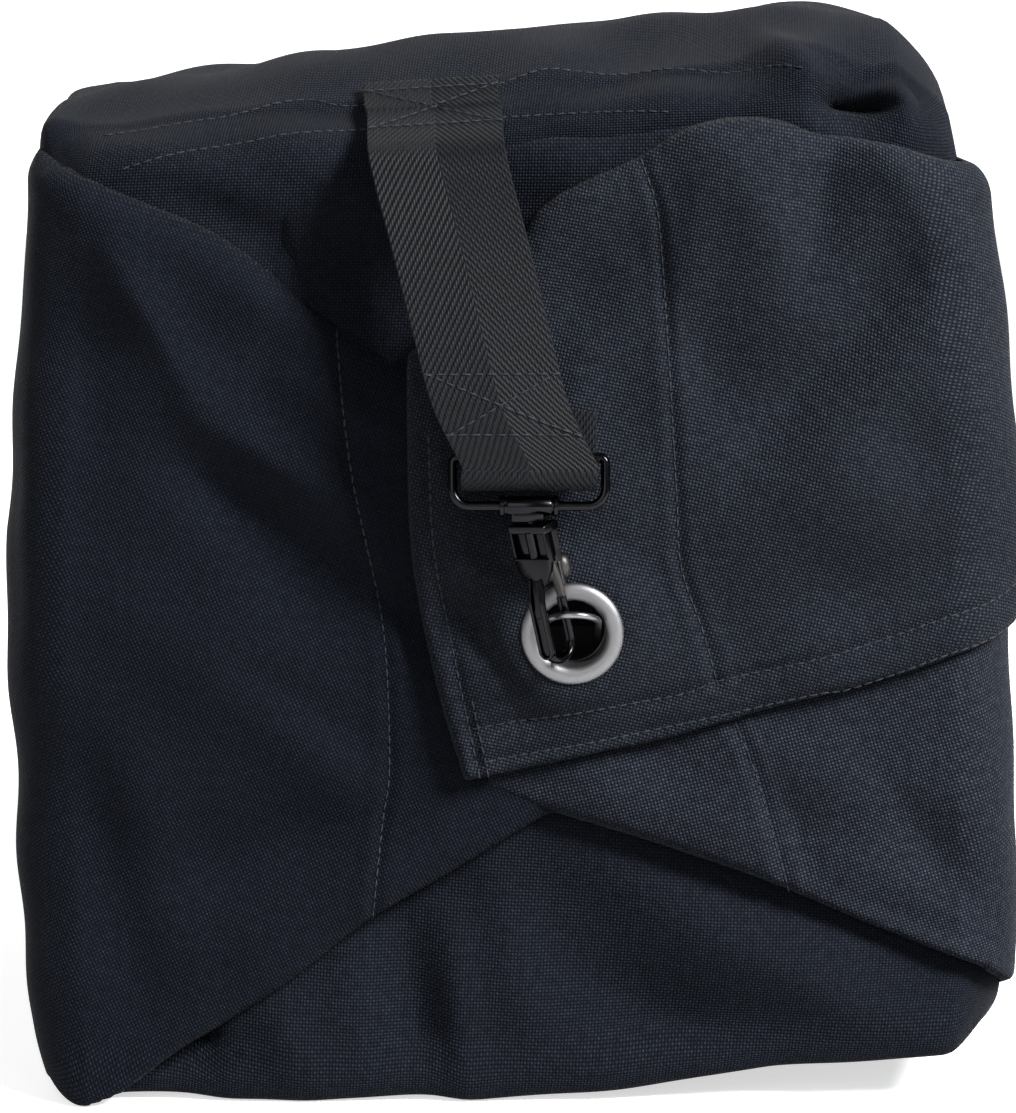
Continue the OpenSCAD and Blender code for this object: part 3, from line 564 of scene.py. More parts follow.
def webbingMaterial(name):
    # herringbone nylon webbing: two rows of slanted ribs that meet in a V down the middle, a harder shine than cloth
    mat, tree, shader = startMaterial(name, **{"Roughness": 0.5, "Sheen Weight": 0.02, "Specular IOR Level": 0.1})
    coord = addNode(tree, "ShaderNodeUVMap", uv_map="cloth")
    split = addNode(tree, "ShaderNodeSeparateXYZ", {0: coord.outputs[0]})
    wobble = addNode(tree, "ShaderNodeTexNoise", {"Vector": coord.outputs[0]})
    wobble.inputs["Scale"].default_value = 180.0
    across = addNode(tree, "ShaderNodeMath", {0: split.outputs[0]}, operation="ABSOLUTE")
    slanted = addNode(tree, "ShaderNodeMath", {0: across.outputs[0], 2: split.outputs[1]}, operation="MULTIPLY_ADD",
                      in_1=1.45)
    moved = addNode(tree, "ShaderNodeMath", {0: wobble.outputs[0], 2: slanted.outputs[0]}, operation="MULTIPLY_ADD",
                    in_1=0.5 * mm)
    ribPitch = 2.45 * mm                                     # 1.4 mm between ribs, along the strap
    phase = addNode(tree, "ShaderNodeMath", {0: moved.outputs[0]}, operation="MULTIPLY", in_1=math.pi / ribPitch)
    rib = addNode(tree, "ShaderNodeMath", {0: phase.outputs[0]}, operation="SINE")
    ribUp = addNode(tree, "ShaderNodeMath", {0: rib.outputs[0]}, operation="ABSOLUTE")
    yarn = addNode(tree, "ShaderNodeMath", {0: split.outputs[0]}, operation="MULTIPLY", in_1=math.pi / (0.8 * mm))
    yarnWave = addNode(tree, "ShaderNodeMath", {0: yarn.outputs[0]}, operation="SINE")
    yarnUp = addNode(tree, "ShaderNodeMath", {0: yarnWave.outputs[0]}, operation="ABSOLUTE")
    height = addNode(tree, "ShaderNodeMath", {0: yarnUp.outputs[0], 2: ribUp.outputs[0]}, operation="MULTIPLY_ADD",
                     in_1=0.35)
    mottle = addNode(tree, "ShaderNodeTexNoise", {"Vector": coord.outputs[0]})
    mottle.inputs["Scale"].default_value = 500.0
    # The rib height also sets the colour: ribs lighter and the grooves between them darker as painted shade, mixed
    # with a random mottle.
    tone = addNode(tree, "ShaderNodeMath", {0: height.outputs[0], 1: mottle.outputs[0]}, operation="MULTIPLY")
    ramp = addNode(tree, "ShaderNodeValToRGB", {0: tone.outputs[0]})
    ramp.color_ramp.elements[0].position = 0.12
    ramp.color_ramp.elements[0].color = hexLinear("050709")
    ramp.color_ramp.elements[1].position = 0.75
    ramp.color_ramp.elements[1].color = hexLinear("121418")
    tree.links.new(ramp.outputs[0], shader.inputs["Base Color"])
    bump = addNode(tree, "ShaderNodeBump", {"Height": height.outputs[0]})
    bump.inputs["Strength"].default_value = 0.9
    bump.inputs["Distance"].default_value = 0.35 * mm
    tree.links.new(bump.outputs[0], shader.inputs["Normal"])
    return mat


webbing = webbingMaterial("herringbone webbing")


def onBody(x, up, clear):
    # a point on the body at x and a distance up its unfolded front, in mm, lifted clear of the cloth
    box = np.array([[x * mm, bagMid[1] - halfSize[1] + max(up * mm - bagHigh[2], 0), min(up * mm, bagHigh[2])]])
    _, n = bagSurface(box)
    return (bodyPoints(box) + n * clear * mm)[0]


def strapCentre():
    # middle line of the webbing: over the top edge, down the front and round the ring's upper bar
    loopR = strap["loop"] * mm
    zr = (topBarPoint - barPoint) / np.linalg.norm(topBarPoint - barPoint)
    out = np.cross(barAxis, zr) * -1.0
    out = out if out[1] < 0 else -out
    top = bagHigh[2]
    x0, reach = strap["sewnEnd"]
    sewn = [onBody(x0 + dx, top / mm + up, 1.7) for dx, up in ((0, reach), (0.3, reach / 2), (0.8, 3), (1.4, -4))]
    hand = np.array([tuple(p) for p in sewn] + [
        ((x0 + 3.2) * mm, bagLow[1] - 7.0 * mm, top - 21 * mm),
        ((x0 + 5.2) * mm, bagLow[1] - 12.5 * mm, top - 30 * mm),
        ((x0 + 9.6) * mm, bagLow[1] - 19.5 * mm, top - 46 * mm),
        ((x0 + 15.2) * mm, bagLow[1] - 26.5 * mm, top - 68 * mm),
        ((x0 + 20.6) * mm, bagLow[1] - 30.6 * mm, top - 88 * mm),
    ])
    middle = topBarPoint - zr * strap["loopDrop"] * mm
    turns = [middle + loopR * (math.cos(a) * out + math.sin(a) * zr)
             for a in np.radians([14, -12, -45, -80, -110, -140, -168])]
    back = [turns[-1] + zr * t * mm for t in (5, 11, 17)]
    return hand, np.array(turns), np.array(back)


def ribbonMesh(name, line, sides, widths, material, shift=0.0):
    # flat woven ribbon along a line, with its width direction given at each point
    n = 30
    t = np.linspace(-0.5, 0.5, n + 1)
    length = np.concatenate([[0], np.cumsum(np.linalg.norm(np.diff(line, axis=0), axis=1))])
    verts = np.concatenate([line[i] + np.outer(t * widths[i], sides[i]) for i in range(len(line))])
    uvs = np.concatenate([np.stack([t * widths[i], np.full(n + 1, -length[i] + shift)],
                                   axis=1) for i in range(len(line))])
    faces = [(i * (n + 1) + k, i * (n + 1) + k + 1, (i + 1) * (n + 1) + k + 1, (i + 1) * (n + 1) + k)
             for i in range(len(line) - 1) for k in range(n)]
    return makeMesh(name, verts, faces, uvs, material), verts.reshape(len(line), n + 1, 3), length


hand, turns, back = strapCentre()
strapLine = curveThrough(np.vstack([hand, turns, back]), 0.9 * mm)
strapShare = np.linspace(0, 1, len(strapLine))
sideTurn = smooth(0.12, 0.75, strapShare)[:, None]
strapSides = np.array([1.0, 0, 0.06]) * (1 - sideTurn) + barAxis * sideTurn
strapSides /= np.linalg.norm(strapSides, axis=1)[:, None]
strapWidths = (strap["width"] + (strap["endWidth"] - strap["width"]) * strapShare) * mm
strapObj, _, strapLength = ribbonMesh("strap_webbing", strapLine, strapSides, strapWidths, webbing)
wall = strapObj.modifiers.new("webbing thickness", "SOLIDIFY")
wall.thickness = strap["thickness"] * mm
wall.offset = 0.0
soft = strapObj.modifiers.new("rounded selvedge", "BEVEL")
soft.width = 0.45 * mm
soft.segments = 2
soft.limit_method = "ANGLE"
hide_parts("strap")
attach(strapObj, "root")


def strapPoint(share, length):
    # point on the strap's outer face: share of the width from the middle, length from the sewn end in m
    i = float(np.interp(length, strapLength, np.arange(len(strapLine))))
    k = int(min(i, len(strapLine) - 2))
    f = i - k
    centre = strapLine[k] * (1 - f) + strapLine[k + 1] * f
    side = strapSides[k]
    tangent = strapLine[k + 1] - strapLine[k]
    normal = np.cross(side, tangent)
    normal /= np.linalg.norm(normal)
    if normal[1] > 0 and normal[2] < 0.3:
        normal = -normal
    if normal[2] < -0.5:
        normal = -normal
    return centre + side * share * strapWidths[k] + normal * (strap["thickness"] / 2 + threadLift) * mm


print("stage: strap")

def makePatch():
    # doubled cloth under the strap's sewn end, lying on the body
    across, up = np.linspace(-18, 18, 13), np.linspace(2, strap["sewnEnd"][1] - 1, 9)
    verts = np.array([onBody(strap["sewnEnd"][0] + 0.5 + u, bagHigh[2] / mm + v, 0.7) for v in up for u in across])
    faces = [(i * 13 + k, i * 13 + k + 1, (i + 1) * 13 + k + 1,
              (i + 1) * 13 + k) for i in range(8) for k in range(12)]
    uvs = np.array([(u * mm, v * mm) for v in up for u in across])
    obj = makeMesh("strap_patch_cloth", verts, faces, uvs, bodyCloth)
    wall = obj.modifiers.new("patch thickness", "SOLIDIFY")
    wall.thickness = 0.6 * mm
    wall.offset = 0.0
    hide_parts("strap_patch")
    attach(obj, "root")


makePatch()

thread = {"length": 2.7, "width": 0.55, "pitch": 3.1}          # mm


def threadMaterial(name):
    # bonded nylon thread: the cloth's own colour with a small shine
    mat, tree, shader = startMaterial(name, **{"Roughness": 0.6, "Specular IOR Level": 0.2})
    coord = addNode(tree, "ShaderNodeTexCoord")
    twist = addNode(tree, "ShaderNodeTexNoise", {"Vector": coord.outputs["Object"]})
    twist.inputs["Scale"].default_value = 900.0                 # twist of the thread, about 1 mm
    ramp = addNode(tree, "ShaderNodeValToRGB", {0: twist.outputs[0]})
    ramp.color_ramp.elements[0].color = hexLinear("0b0d11")
    ramp.color_ramp.elements[1].color = hexLinear("2c3038")
    tree.links.new(ramp.outputs[0], shader.inputs["Base Color"])
    return mat


def stitchTree(material):
    # one thread stitch on every step of a curve
    tree = bpy.data.node_groups.new("stitch row", "GeometryNodeTree")
    tree.interface.new_socket("Geometry", in_out="INPUT", socket_type="NodeSocketGeometry")
    for label in ("Stitch length", "Stitch width", "Stitch pitch"):
        tree.interface.new_socket(label, in_out="INPUT", socket_type="NodeSocketFloat")
    tree.interface.new_socket("Geometry", in_out="OUTPUT", socket_type="NodeSocketGeometry")
    given = addNode(tree, "NodeGroupInput")
    result = addNode(tree, "NodeGroupOutput")
    steps = addNode(tree, "GeometryNodeResampleCurve", {"Curve": given.outputs[0], "Length": given.outputs[3]},
                    mode="LENGTH")
    bead = addNode(tree, "GeometryNodeMeshUVSphere")
    bead.inputs["Segments"].default_value = 6
    bead.inputs["Rings"].default_value = 4
    bead.inputs["Radius"].default_value = 0.5
    size = addNode(tree, "ShaderNodeCombineXYZ", {0: given.outputs[2], 1: given.outputs[2], 2: given.outputs[1]})
    wander = addNode(tree, "FunctionNodeRandomValue", data_type="FLOAT_VECTOR")
    wander.inputs[0].default_value = (-0.09, -0.09, -0.09)
    wander.inputs[1].default_value = (0.09, 0.09, 0.09)
    wander.inputs["Seed"].default_value = 5
    tangent = addNode(tree, "GeometryNodeInputTangent")
    lean = addNode(tree, "ShaderNodeVectorMath", {0: tangent.outputs[0], 1: wander.outputs[0]}, operation="ADD")
    turn = addNode(tree, "FunctionNodeAlignRotationToVector", {"Vector": lean.outputs[0]}, axis="Z")
    row = addNode(tree, "GeometryNodeInstanceOnPoints", {"Points": steps.outputs[0], "Instance": bead.outputs[0],
                                                         "Rotation": turn.outputs[0], "Scale": size.outputs[0]})
    real = addNode(tree, "GeometryNodeRealizeInstances", {0: row.outputs[0]})
    shade = addNode(tree, "GeometryNodeSetShadeSmooth", {0: real.outputs[0]})
    dress = addNode(tree, "GeometryNodeSetMaterial", {0: shade.outputs[0]})
    dress.inputs["Material"].default_value = material
    tree.links.new(dress.outputs[0], result.inputs[0])
    return tree


def sew(name, rows, body, width=None):
    # turns rows of points into rows of stitches, as one plain mesh
    curve = bpy.data.curves.new(name + "_path", "CURVE")
    curve.dimensions = "3D"
    for row in rows:
        spline = curve.splines.new("POLY")
        spline.points.add(len(row) - 1)
        spline.points.foreach_set("co", np.hstack([row, np.ones((len(row), 1))]).astype(np.float32).ravel())
    path = bpy.data.objects.new(name + "_path", curve)
    bpy.context.scene.collection.objects.link(path)
    nodes = path.modifiers.new("stitches", "NODES")
    nodes.node_group = stitches
    sizes = {"Stitch length": thread["length"], "Stitch width": width or thread["width"],
             "Stitch pitch": thread["pitch"]}
    for item in stitches.interface.items_tree:
        if item.name in sizes:
            nodes[item.identifier] = sizes[item.name] * mm
    bpy.context.view_layer.update()
    made = bpy.data.meshes.new_from_object(path.evaluated_get(bpy.context.evaluated_depsgraph_get()))
    bpy.data.objects.remove(path)
    obj = bpy.data.objects.new(name, made)
    bpy.context.scene.collection.objects.link(obj)
    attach(obj, body)
    return obj


stitches = stitchTree(threadMaterial("bonded nylon thread"))


def seamRow(pq, spec, shift=0.0):
    # a row on a folded layer, lifted just clear of its face
    pq = np.asarray(pq) + np.array([0.0, shift])
    p = layerPoints(pq, spec)
    _, n = bagSurface(frontBox(pq * mm))
    return p + n * threadLift * mm


def bodyRow(xz):
    # a row on the body, over its front and top edge; x in mm and distance up the unfolded front in mm
    xz = np.asarray(xz, float)
    up = np.minimum(xz[:, 1] * mm, bagHigh[2])
    back = np.maximum(xz[:, 1] * mm - bagHigh[2], 0)
    box = np.stack([xz[:, 0] * mm, np.full(len(xz), bagMid[1] - halfSize[1]) + back, up], axis=1)
    _, n = bagSurface(box)
    return bodyPoints(box) + n * threadLift * mm


within = lambda line, low, high: line[(line[:, 0] > low) & (line[:, 0] < high)]
topRowHigh = curveThrough([(-116, 292), (-84, 298), (-60, 303), (-44, 300), (0, 301), (14, 303), (34, 303), (54, 301),
                           (71, 297), (82, 290), (90, 283)], rowStep)
topRowLow = curveThrough([(-110, 269), (-87, 274), (-60, 277), (-44, 278), (0, 276), (20, 275), (48, 271)], rowStep)
sew("flap_stitches", [seamRow(within(hemRowLow, -6, 168), rightSpec), seamRow(within(hemRowHigh, -9, 168), rightSpec),
                      seamRow(rightInnerRow, rightSpec),
                      seamRow(rightInnerRow[-14:] + np.array([2.4, 0.5]), rightSpec),
                      seamRow(rightSeam, rightSpec), seamRow(underSeam, underSpec), seamRow(leftSeam, leftSpec)],
    "root")
sew("band_stitches", [bodyRow(topRowHigh), bodyRow(topRowLow)], "root")


def strapRow(points):
    line = along(points, 0.001)
    return np.array([strapPoint(u, v) for u, v in line])


def boxStitches(start, end, edge=0.465):
    # a box of stitches with a cross in it, from one distance along the strap to another
    a, b = start, end
    return [strapRow([(-edge, a), (edge, a)]), strapRow([(-edge, b), (edge, b)]),
            strapRow([(-edge, a), (edge, b)]), strapRow([(edge, a), (-edge, b)])]


sew("strap_stitches", boxStitches(0.004, 0.022) + boxStitches(0.098, 0.115), "root", 0.55)
print("stage: stitches")

def nickelMaterial(name, colour, rough, wear):
    # plated die-cast or wire: dark mirror with fine rubbing marks that catch the light
    mat, tree, shader = startMaterial(name, **{"Metallic": 1.0, "Base Color": hexLinear(colour)})
    coord = addNode(tree, "ShaderNodeTexCoord")
    rub = addNode(tree, "ShaderNodeTexNoise", {"Vector": coord.outputs["Object"]})
    rub.inputs["Scale"].default_value = 350.0                    # rubbed patches, about 3 mm
    rub.inputs["Detail"].default_value = 6.0
    ramp = addNode(tree, "ShaderNodeMapRange", {"Value": rub.outputs[0]})
    ramp.inputs["To Min"].default_value = rough * 0.7
    ramp.inputs["To Max"].default_value = rough * 1.5
    tree.links.new(ramp.outputs[0], shader.inputs["Roughness"])
    fine = addNode(tree, "ShaderNodeTexNoise", {"Vector": coord.outputs["Object"]})
    fine.inputs["Scale"].default_value = 2600.0                  # cast grain, 0.4 mm
    bump = addNode(tree, "ShaderNodeBump", {"Height": fine.outputs[0]})
    bump.inputs["Strength"].default_value = wear
    bump.inputs["Distance"].default_value = 0.03 * mm
    tree.links.new(bump.outputs[0], shader.inputs["Normal"])
    return mat


def eyeletMaterial(name):
    # pressed and tumbled nickel-plated eyelet: satin with faint rings from the die
    mat, tree, shader = startMaterial(name, **{"Metallic": 1.0, "Base Color": hexLinear("6c6c6e")})
    coord = addNode(tree, "ShaderNodeTexCoord")
    centred = addNode(tree, "ShaderNodeMapping", {0: coord.outputs["Object"]})
    centred.inputs["Location"].default_value = tuple(-eyeletMid)
    flat = addNode(tree, "ShaderNodeVectorMath", {0: centred.outputs[0]}, operation="MULTIPLY")
    flat.inputs[1].default_value = (1, 0, 1)
    radius = addNode(tree, "ShaderNodeVectorMath", {0: flat.outputs[0]}, operation="LENGTH")
    rings = addNode(tree, "ShaderNodeTexNoise", {"W": radius.outputs["Value"]}, noise_dimensions="1D")
    rings.inputs["Scale"].default_value = 2400.0                 # die rings, 0.4 mm
    cloud = addNode(tree, "ShaderNodeTexNoise", {"Vector": coord.outputs["Object"]})
    cloud.inputs["Scale"].default_value = 160.0
    cloud.inputs["Detail"].default_value = 5.0
    rough = addNode(tree, "ShaderNodeMapRange", {"Value": cloud.outputs[0]})
    rough.inputs["To Min"].default_value = 0.38
    rough.inputs["To Max"].default_value = 0.56
    tree.links.new(rough.outputs[0], shader.inputs["Roughness"])
    bump = addNode(tree, "ShaderNodeBump", {"Height": rings.outputs[0]})
    bump.inputs["Strength"].default_value = 0.35
    bump.inputs["Distance"].default_value = 0.03 * mm
    tree.links.new(bump.outputs[0], shader.inputs["Normal"])
    return mat


blackNickel = nickelMaterial("black nickel plate", "1d1d1f", 0.19, 0.25)
satinNickel = nickelMaterial("satin gunmetal plate", "3d3c3b", 0.42, 0.35)
stapleSteel = nickelMaterial("drawn steel staple wire", "6f6f70", 0.3, 0.25)
satinEyelet = eyeletMaterial("tumbled nickel eyelet")


class Solid:
    # collects closed bits of one metal piece in its own frame, in mm

    def __init__(self):
        self.verts, self.faces = [], []

    def add(self, verts, faces):
        base = sum(len(v) for v in self.verts)
        self.verts.append(np.asarray(verts, float))
        self.faces += [tuple(int(i) + base for i in f) for f in faces]

    def tube(self, path, radius, sides=20, closed=False, flat=1.0):
        # round wire along a path; flat squashes it across X
        p = np.asarray(path, float)
        n = len(p)
        ahead = np.roll(p, -1, 0) if closed else np.vstack([p[1:], 2 * p[-1:] - p[-2:-1]])
        behind = np.roll(p, 1, 0) if closed else np.vstack([2 * p[:1] - p[1:2], p[:-1]])
        tan = ahead - behind
        tan /= np.linalg.norm(tan, axis=1)[:, None]
        ref = np.array([1.0, 0.0, 0.0]) if np.abs(tan[:, 0]).max() < 0.8 else np.array([0.0, 1.0, 0.0])
        a = np.cross(tan, ref)
        a /= np.linalg.norm(a, axis=1)[:, None]
        b = np.cross(tan, a)
        ang = np.linspace(0, 2 * math.pi, sides, endpoint=False)
        radii = np.full(n, radius) if np.isscalar(radius) else np.asarray(radius)
        ring = p[:, None] + radii[:, None, None] * (np.cos(ang)[None, :, None] * a[:, None]
                                                    + flat * np.sin(ang)[None, :, None] * b[:, None])
        faces = [(i * sides + k, i * sides + (k + 1) % sides, ((i + 1) % n) * sides + (k + 1) % sides,
                  ((i + 1) % n) * sides + k)
                 for i in range(n if closed else n - 1) for k in range(sides)]
        if not closed:
            faces += [tuple(range(sides))[::-1], tuple((n - 1) * sides + k for k in range(sides))]
        self.add(ring.reshape(-1, 3), faces)

    def lathe(self, profile, axis="X", centre=(0, 0, 0), segments=64, closed=False):
        # profile of (along, radius) turned about an axis through centre
        prof = np.asarray(profile, float)
        ang = np.linspace(0, 2 * math.pi, segments, endpoint=False)
        k = {"X": 0, "Y": 1, "Z": 2}[axis]
        u, v = (k + 1) % 3, (k + 2) % 3
        verts = np.zeros((len(prof), segments, 3))
        verts[:, :, k] = prof[:, 0][:, None]
        verts[:, :, u] = prof[:, 1][:, None] * np.cos(ang)
        verts[:, :, v] = prof[:, 1][:, None] * np.sin(ang)
        verts += np.array(centre)
        m = len(prof)
        faces = [(i * segments + j, i * segments + (j + 1) % segments, ((i + 1) % m) * segments + (j + 1) % segments,
                  ((i + 1) % m) * segments + j)
                 for i in range(m if closed else m - 1) for j in range(segments)]
        if not closed:
            faces += [tuple(range(segments))[::-1], tuple((m - 1) * segments + j for j in range(segments))]
        self.add(verts.reshape(-1, 3), faces)

    def slab(self, outline, y0, y1, bevel=0.35):
        # outline in X and Z, given a thickness along Y with softened rims
        o = np.asarray(outline, float)
        mid = o.mean(0)
        n = len(o)
        prev, nxt = np.roll(o, 1, 0), np.roll(o, -1, 0)
        tan = nxt - prev
        tan /= np.maximum(np.linalg.norm(tan, axis=1), 1e-9)[:, None]
        inward = np.stack([-tan[:, 1], tan[:, 0]], axis=1)
        inward *= np.sign(((mid - o) * inward).sum(1).mean())
        rows = []
        for y, cut in ((y0, bevel), (y0 + bevel * 0.3, bevel * 0.3), (y0 + bevel, 0), (y1 - bevel, 0),
                       (y1 - bevel * 0.3, bevel * 0.3), (y1, bevel)):
            q = o + inward * cut
            rows.append(np.stack([q[:, 0], np.full(n, y), q[:, 1]], axis=1))
        faces = [(i * n + k, i * n + (k + 1) % n, (i + 1) * n + (k + 1) % n,
                  (i + 1) * n + k) for i in range(5) for k in range(n)]
        faces += [tuple(range(n))[::-1], tuple(5 * n + k for k in range(n))]
        self.add(np.concatenate(rows), faces)

    def build(self, name, material, origin, axes, body, *nodes):
        verts = np.concatenate(self.verts) * mm @ np.array(axes) + np.asarray(origin)
        obj = makeMesh(name, verts, self.faces, None, material)
        bm = bmesh.new()
        bm.from_mesh(obj.data)
        bmesh.ops.recalc_face_normals(bm, faces=bm.faces)
        bm.to_mesh(obj.data)
        bm.free()
        obj.data.set_sharp_from_angle(angle=math.radians(38))
        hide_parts(*nodes)
        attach(obj, body)
        return obj


def arc(cx, cy, r, start, end, n=12):
    t = np.radians(np.linspace(start, end, n))
    return [(cx + r * math.cos(a), cy + r * math.sin(a)) for a in t]


def roundRect(w, h, r, cx=0.0, cy=0.0, n=6):
    pts = []
    for sx, sy, start in ((1, 1, 0), (-1, 1, 90), (-1, -1, 180), (1, -1, 270)):
        pts += arc(cx + sx * (w / 2 - r), cy + sy * (h / 2 - r), r, start, start + 90, n)
    return pts


ringUp = (topBarPoint - barPoint) / np.linalg.norm(topBarPoint - barPoint)
ringAxes = [barAxis, np.cross(ringUp, barAxis), ringUp]
hookUp = np.array(joints["hook_spin"]["axis"])
hookX = -np.array(joints["gate_open"]["axis"])
hookAxes = [hookX, np.cross(hookUp, hookX), hookUp]
barrelUp = hookUp - barAxis * (hookUp @ barAxis)
barrelUp /= np.linalg.norm(barrelUp)
barrelAxes = [barAxis, np.cross(barrelUp, barAxis), barrelUp]
ringHeight = np.linalg.norm(topBarPoint - barPoint) / mm
hardware = {                  # mm; ring and barrel as packed, the neck wider and the gate's knob further out
    "ringHalf": 20.5, "wire": 1.3, "lowBend": 4.6, "topBend": 1.7,
    "barrelR": 2.7, "barrelL": 16.0, "neckW": 12.4, "eyeR": 5.2, "bendDrop": 38.5, "tipDrop": 27.5,
    "armW": 4.4, "rivetDrop": 11.0, "rivetY": 1.2,
}
h = hardware

ringPath = []
for sx, z, bend, start in ((1, ringHeight - h["topBend"], h["topBend"], 0),
                           (-1, ringHeight - h["topBend"], h["topBend"], 90),
                           (-1, h["lowBend"], h["lowBend"], 180), (1, h["lowBend"], h["lowBend"], 270)):
    ringPath += [(x, 0.0, zz) for x, zz in arc(sx * (h["ringHalf"] - bend), z, bend, start, start + 90, 12)]
wire = Solid()
wire.tube(ringPath, h["wire"], 24, closed=True)
wire.build("ring_wire", blackNickel, barPoint, ringAxes, "ring", "ring")

barrel = Solid()
halfLength, barrelRadius = h["barrelL"] / 2, h["barrelR"]
barrel.lathe([(-halfLength, 1.36), (-halfLength, barrelRadius - 0.1), (-halfLength + 0.3, barrelRadius + 0.25),
              (-halfLength + 1.2, barrelRadius + 0.25), (-halfLength + 1.5, barrelRadius - 0.15),
              (-halfLength + 2.0, barrelRadius - 0.25),
              (-halfLength + 2.4, barrelRadius), (halfLength - 2.4, barrelRadius),
              (halfLength - 2.0, barrelRadius - 0.25), (halfLength - 1.5, barrelRadius - 0.15),
              (halfLength - 1.2, barrelRadius + 0.25), (halfLength - 0.3, barrelRadius + 0.25),
              (halfLength, barrelRadius - 0.1), (halfLength, 1.36)], "X", closed=True)
barrel.slab(roundRect(8.6, 2.6, 0.6, -0.4, -2.6), -2.3, 2.3, 0.4)
barrel.lathe([(-8.3, 2.1), (-7.3, 2.1), (-7.2, 1.5), (-2.4, 1.5)], "Z", segments=32)
# the shank leans with the hook
barrel.verts[-1] = barrel.verts[-1] @ np.array(hookAxes) @ np.array(barrelAxes).T
barrel.build("swivel_barrel_cast", blackNickel, barPoint, barrelAxes, "swivel", "swivel_barrel")

hook = Solid()
neckWidth = h["neckW"]
shoulderZ = -5.9
hook.slab(roundRect(neckWidth + 0.4, 2.4, 0.5, 0, shoulderZ), -3.3, 3.0, 0.5)
neckTop, neckLow = -6.9, -14.6
neckMid, neckTall = (neckTop + neckLow) / 2, neckTop - neckLow
for sx in (-1, 1):
    # sides of the flutes
    hook.slab(roundRect(0.9, neckTall + 1, 0.35, sx * (neckWidth / 2 - 0.45), neckMid), -3.4, -0.8, 0.25)
    # ears of the gate's rivet
    hook.slab(roundRect(0.8, 9.2, 0.35, sx * 2.9, -10.4), -1.4, 3.1, 0.25)
# web behind the flutes
hook.slab(roundRect(neckWidth - 1, neckTall + 0.6, 0.4, 0, neckMid), -1.9, -0.9, 0.2)
# rib between the flutes
hook.tube([(0.3, -2.1, neckTop + 0.2), (0.3, -2.1, neckLow - 0.5)], 1.6, 20)
shield = [(-neckWidth / 2, -13.6), (-neckWidth / 2 + 0.1, -15.0), (-neckWidth / 2 + 0.9, -17.6),
          (-neckWidth / 2 + 2.3, -20.2), (-2.3, -22.2), (-1.2, -22.9),
          (1.2, -22.9), (2.3, -22.2), (neckWidth / 2 - 2.3, -20.2), (neckWidth / 2 - 0.9, -17.6),
          (neckWidth / 2 - 0.1, -15.0), (neckWidth / 2, -13.6)]
hook.slab(along(shield, 0.7, closed=True), -3.9, -1.6, 0.45)
armTop, armLow = -19.5, -(h["bendDrop"] + 1.0)
armY = -h["eyeR"]
stadium = [(h["armW"] / 2, armTop)] + [(x, z) for x, z in arc(0, armLow, h["armW"] / 2, 0, -180,
                                                              16)] + [(-h["armW"] / 2, armTop)]
slope = lambda z: np.interp(z, [-26, armTop], [0.0, 1.9])          # the arm's top leans back under the shield
base = len(hook.verts)
hook.slab(along(stadium, 0.6, closed=True), armY - 0.5, armY + 1.1, 0.3)
rimX = h["armW"] / 2 - 0.35
rim = ([(rimX, z) for z in np.linspace(armTop, armLow, 24)] + arc(0, armLow, rimX, 0, -180, 16)
       + [(-rimX, z) for z in np.linspace(armLow, armTop, 24)])
hook.tube([(x, armY - 0.65, z) for x, z in rim], 0.5, 12)
for k in range(base, len(hook.verts)):
    hook.verts[k][:, 1] += slope(hook.verts[k][:, 2])
bendR = h["eyeR"] - 0.15
bend = ([(0.0, armY + 0.25, -30.0), (0.0, armY + 0.25, -34.0)]
        + [(0.0, y, z) for y, z in arc(0, -h["bendDrop"], bendR, 180, 360, 24)]
        + [(0.0, bendR, z) for z in np.linspace(-h["bendDrop"] + 1, -h["tipDrop"], 8)])
hook.tube(bend, 1.15, 20, flat=1.35)
hook.build("snap_hook_cast", blackNickel, barPoint, hookAxes, "hook", "hook_body")

rivet = Solid()
earFace = 3.3                       # outer face of the ears
rivet.lathe([(-earFace - 0.6, 0.6), (-earFace - 0.45, 1.1), (-earFace - 0.1, 1.4), (-earFace, 1.4), (-earFace, 1.0),
             (earFace, 1.0),
             (earFace, 1.4), (earFace + 0.1, 1.4), (earFace + 0.45, 1.1), (earFace + 0.6, 0.6)], "X",
            (0, h["rivetY"], -h["rivetDrop"]), 32)
rivet.build("gate_rivet_set", blackNickel, barPoint, hookAxes, "hook", "gate_rivet")

gate = Solid()
gate.tube([(0, h["rivetY"] + 0.3, -9.6), (0, 1.9, -12), (0, 2.9, -16), (0, 4.1, -20), (0, 5.0, -23.5),
           (0, 5.2, -27.0)],
          [1.5, 1.5, 1.45, 1.3, 1.1, 0.95], 20, flat=1.45)
for sx in (-1, 1):
    gate.slab(roundRect(0.8, 9.4, 0.35, sx * 1.9, -12.6), 0.6, 6.2, 0.3)          # sides of the pressed gate
gate.slab(roundRect(4.2, 9.6, 1.2, 0, -13.0), 5.2, 6.6, 0.35)                     # its back
knob = [(z, 2.5 * math.sqrt(max(1 - ((z + 19.6) / 3.4) ** 2, 0.02))) for z in np.linspace(-22.9, -16.3, 16)]
gate.lathe(knob, "Z", (0, h["eyeR"] + 2.9, 0), 28)
gate.slab(roundRect(3.4, 8.0, 1.2, 0, -20.6), 5.0, 6.4, 0.35)                     # prong under the knob
gate.build("gate_cast", satinNickel, barPoint, hookAxes, "gate", "gate")

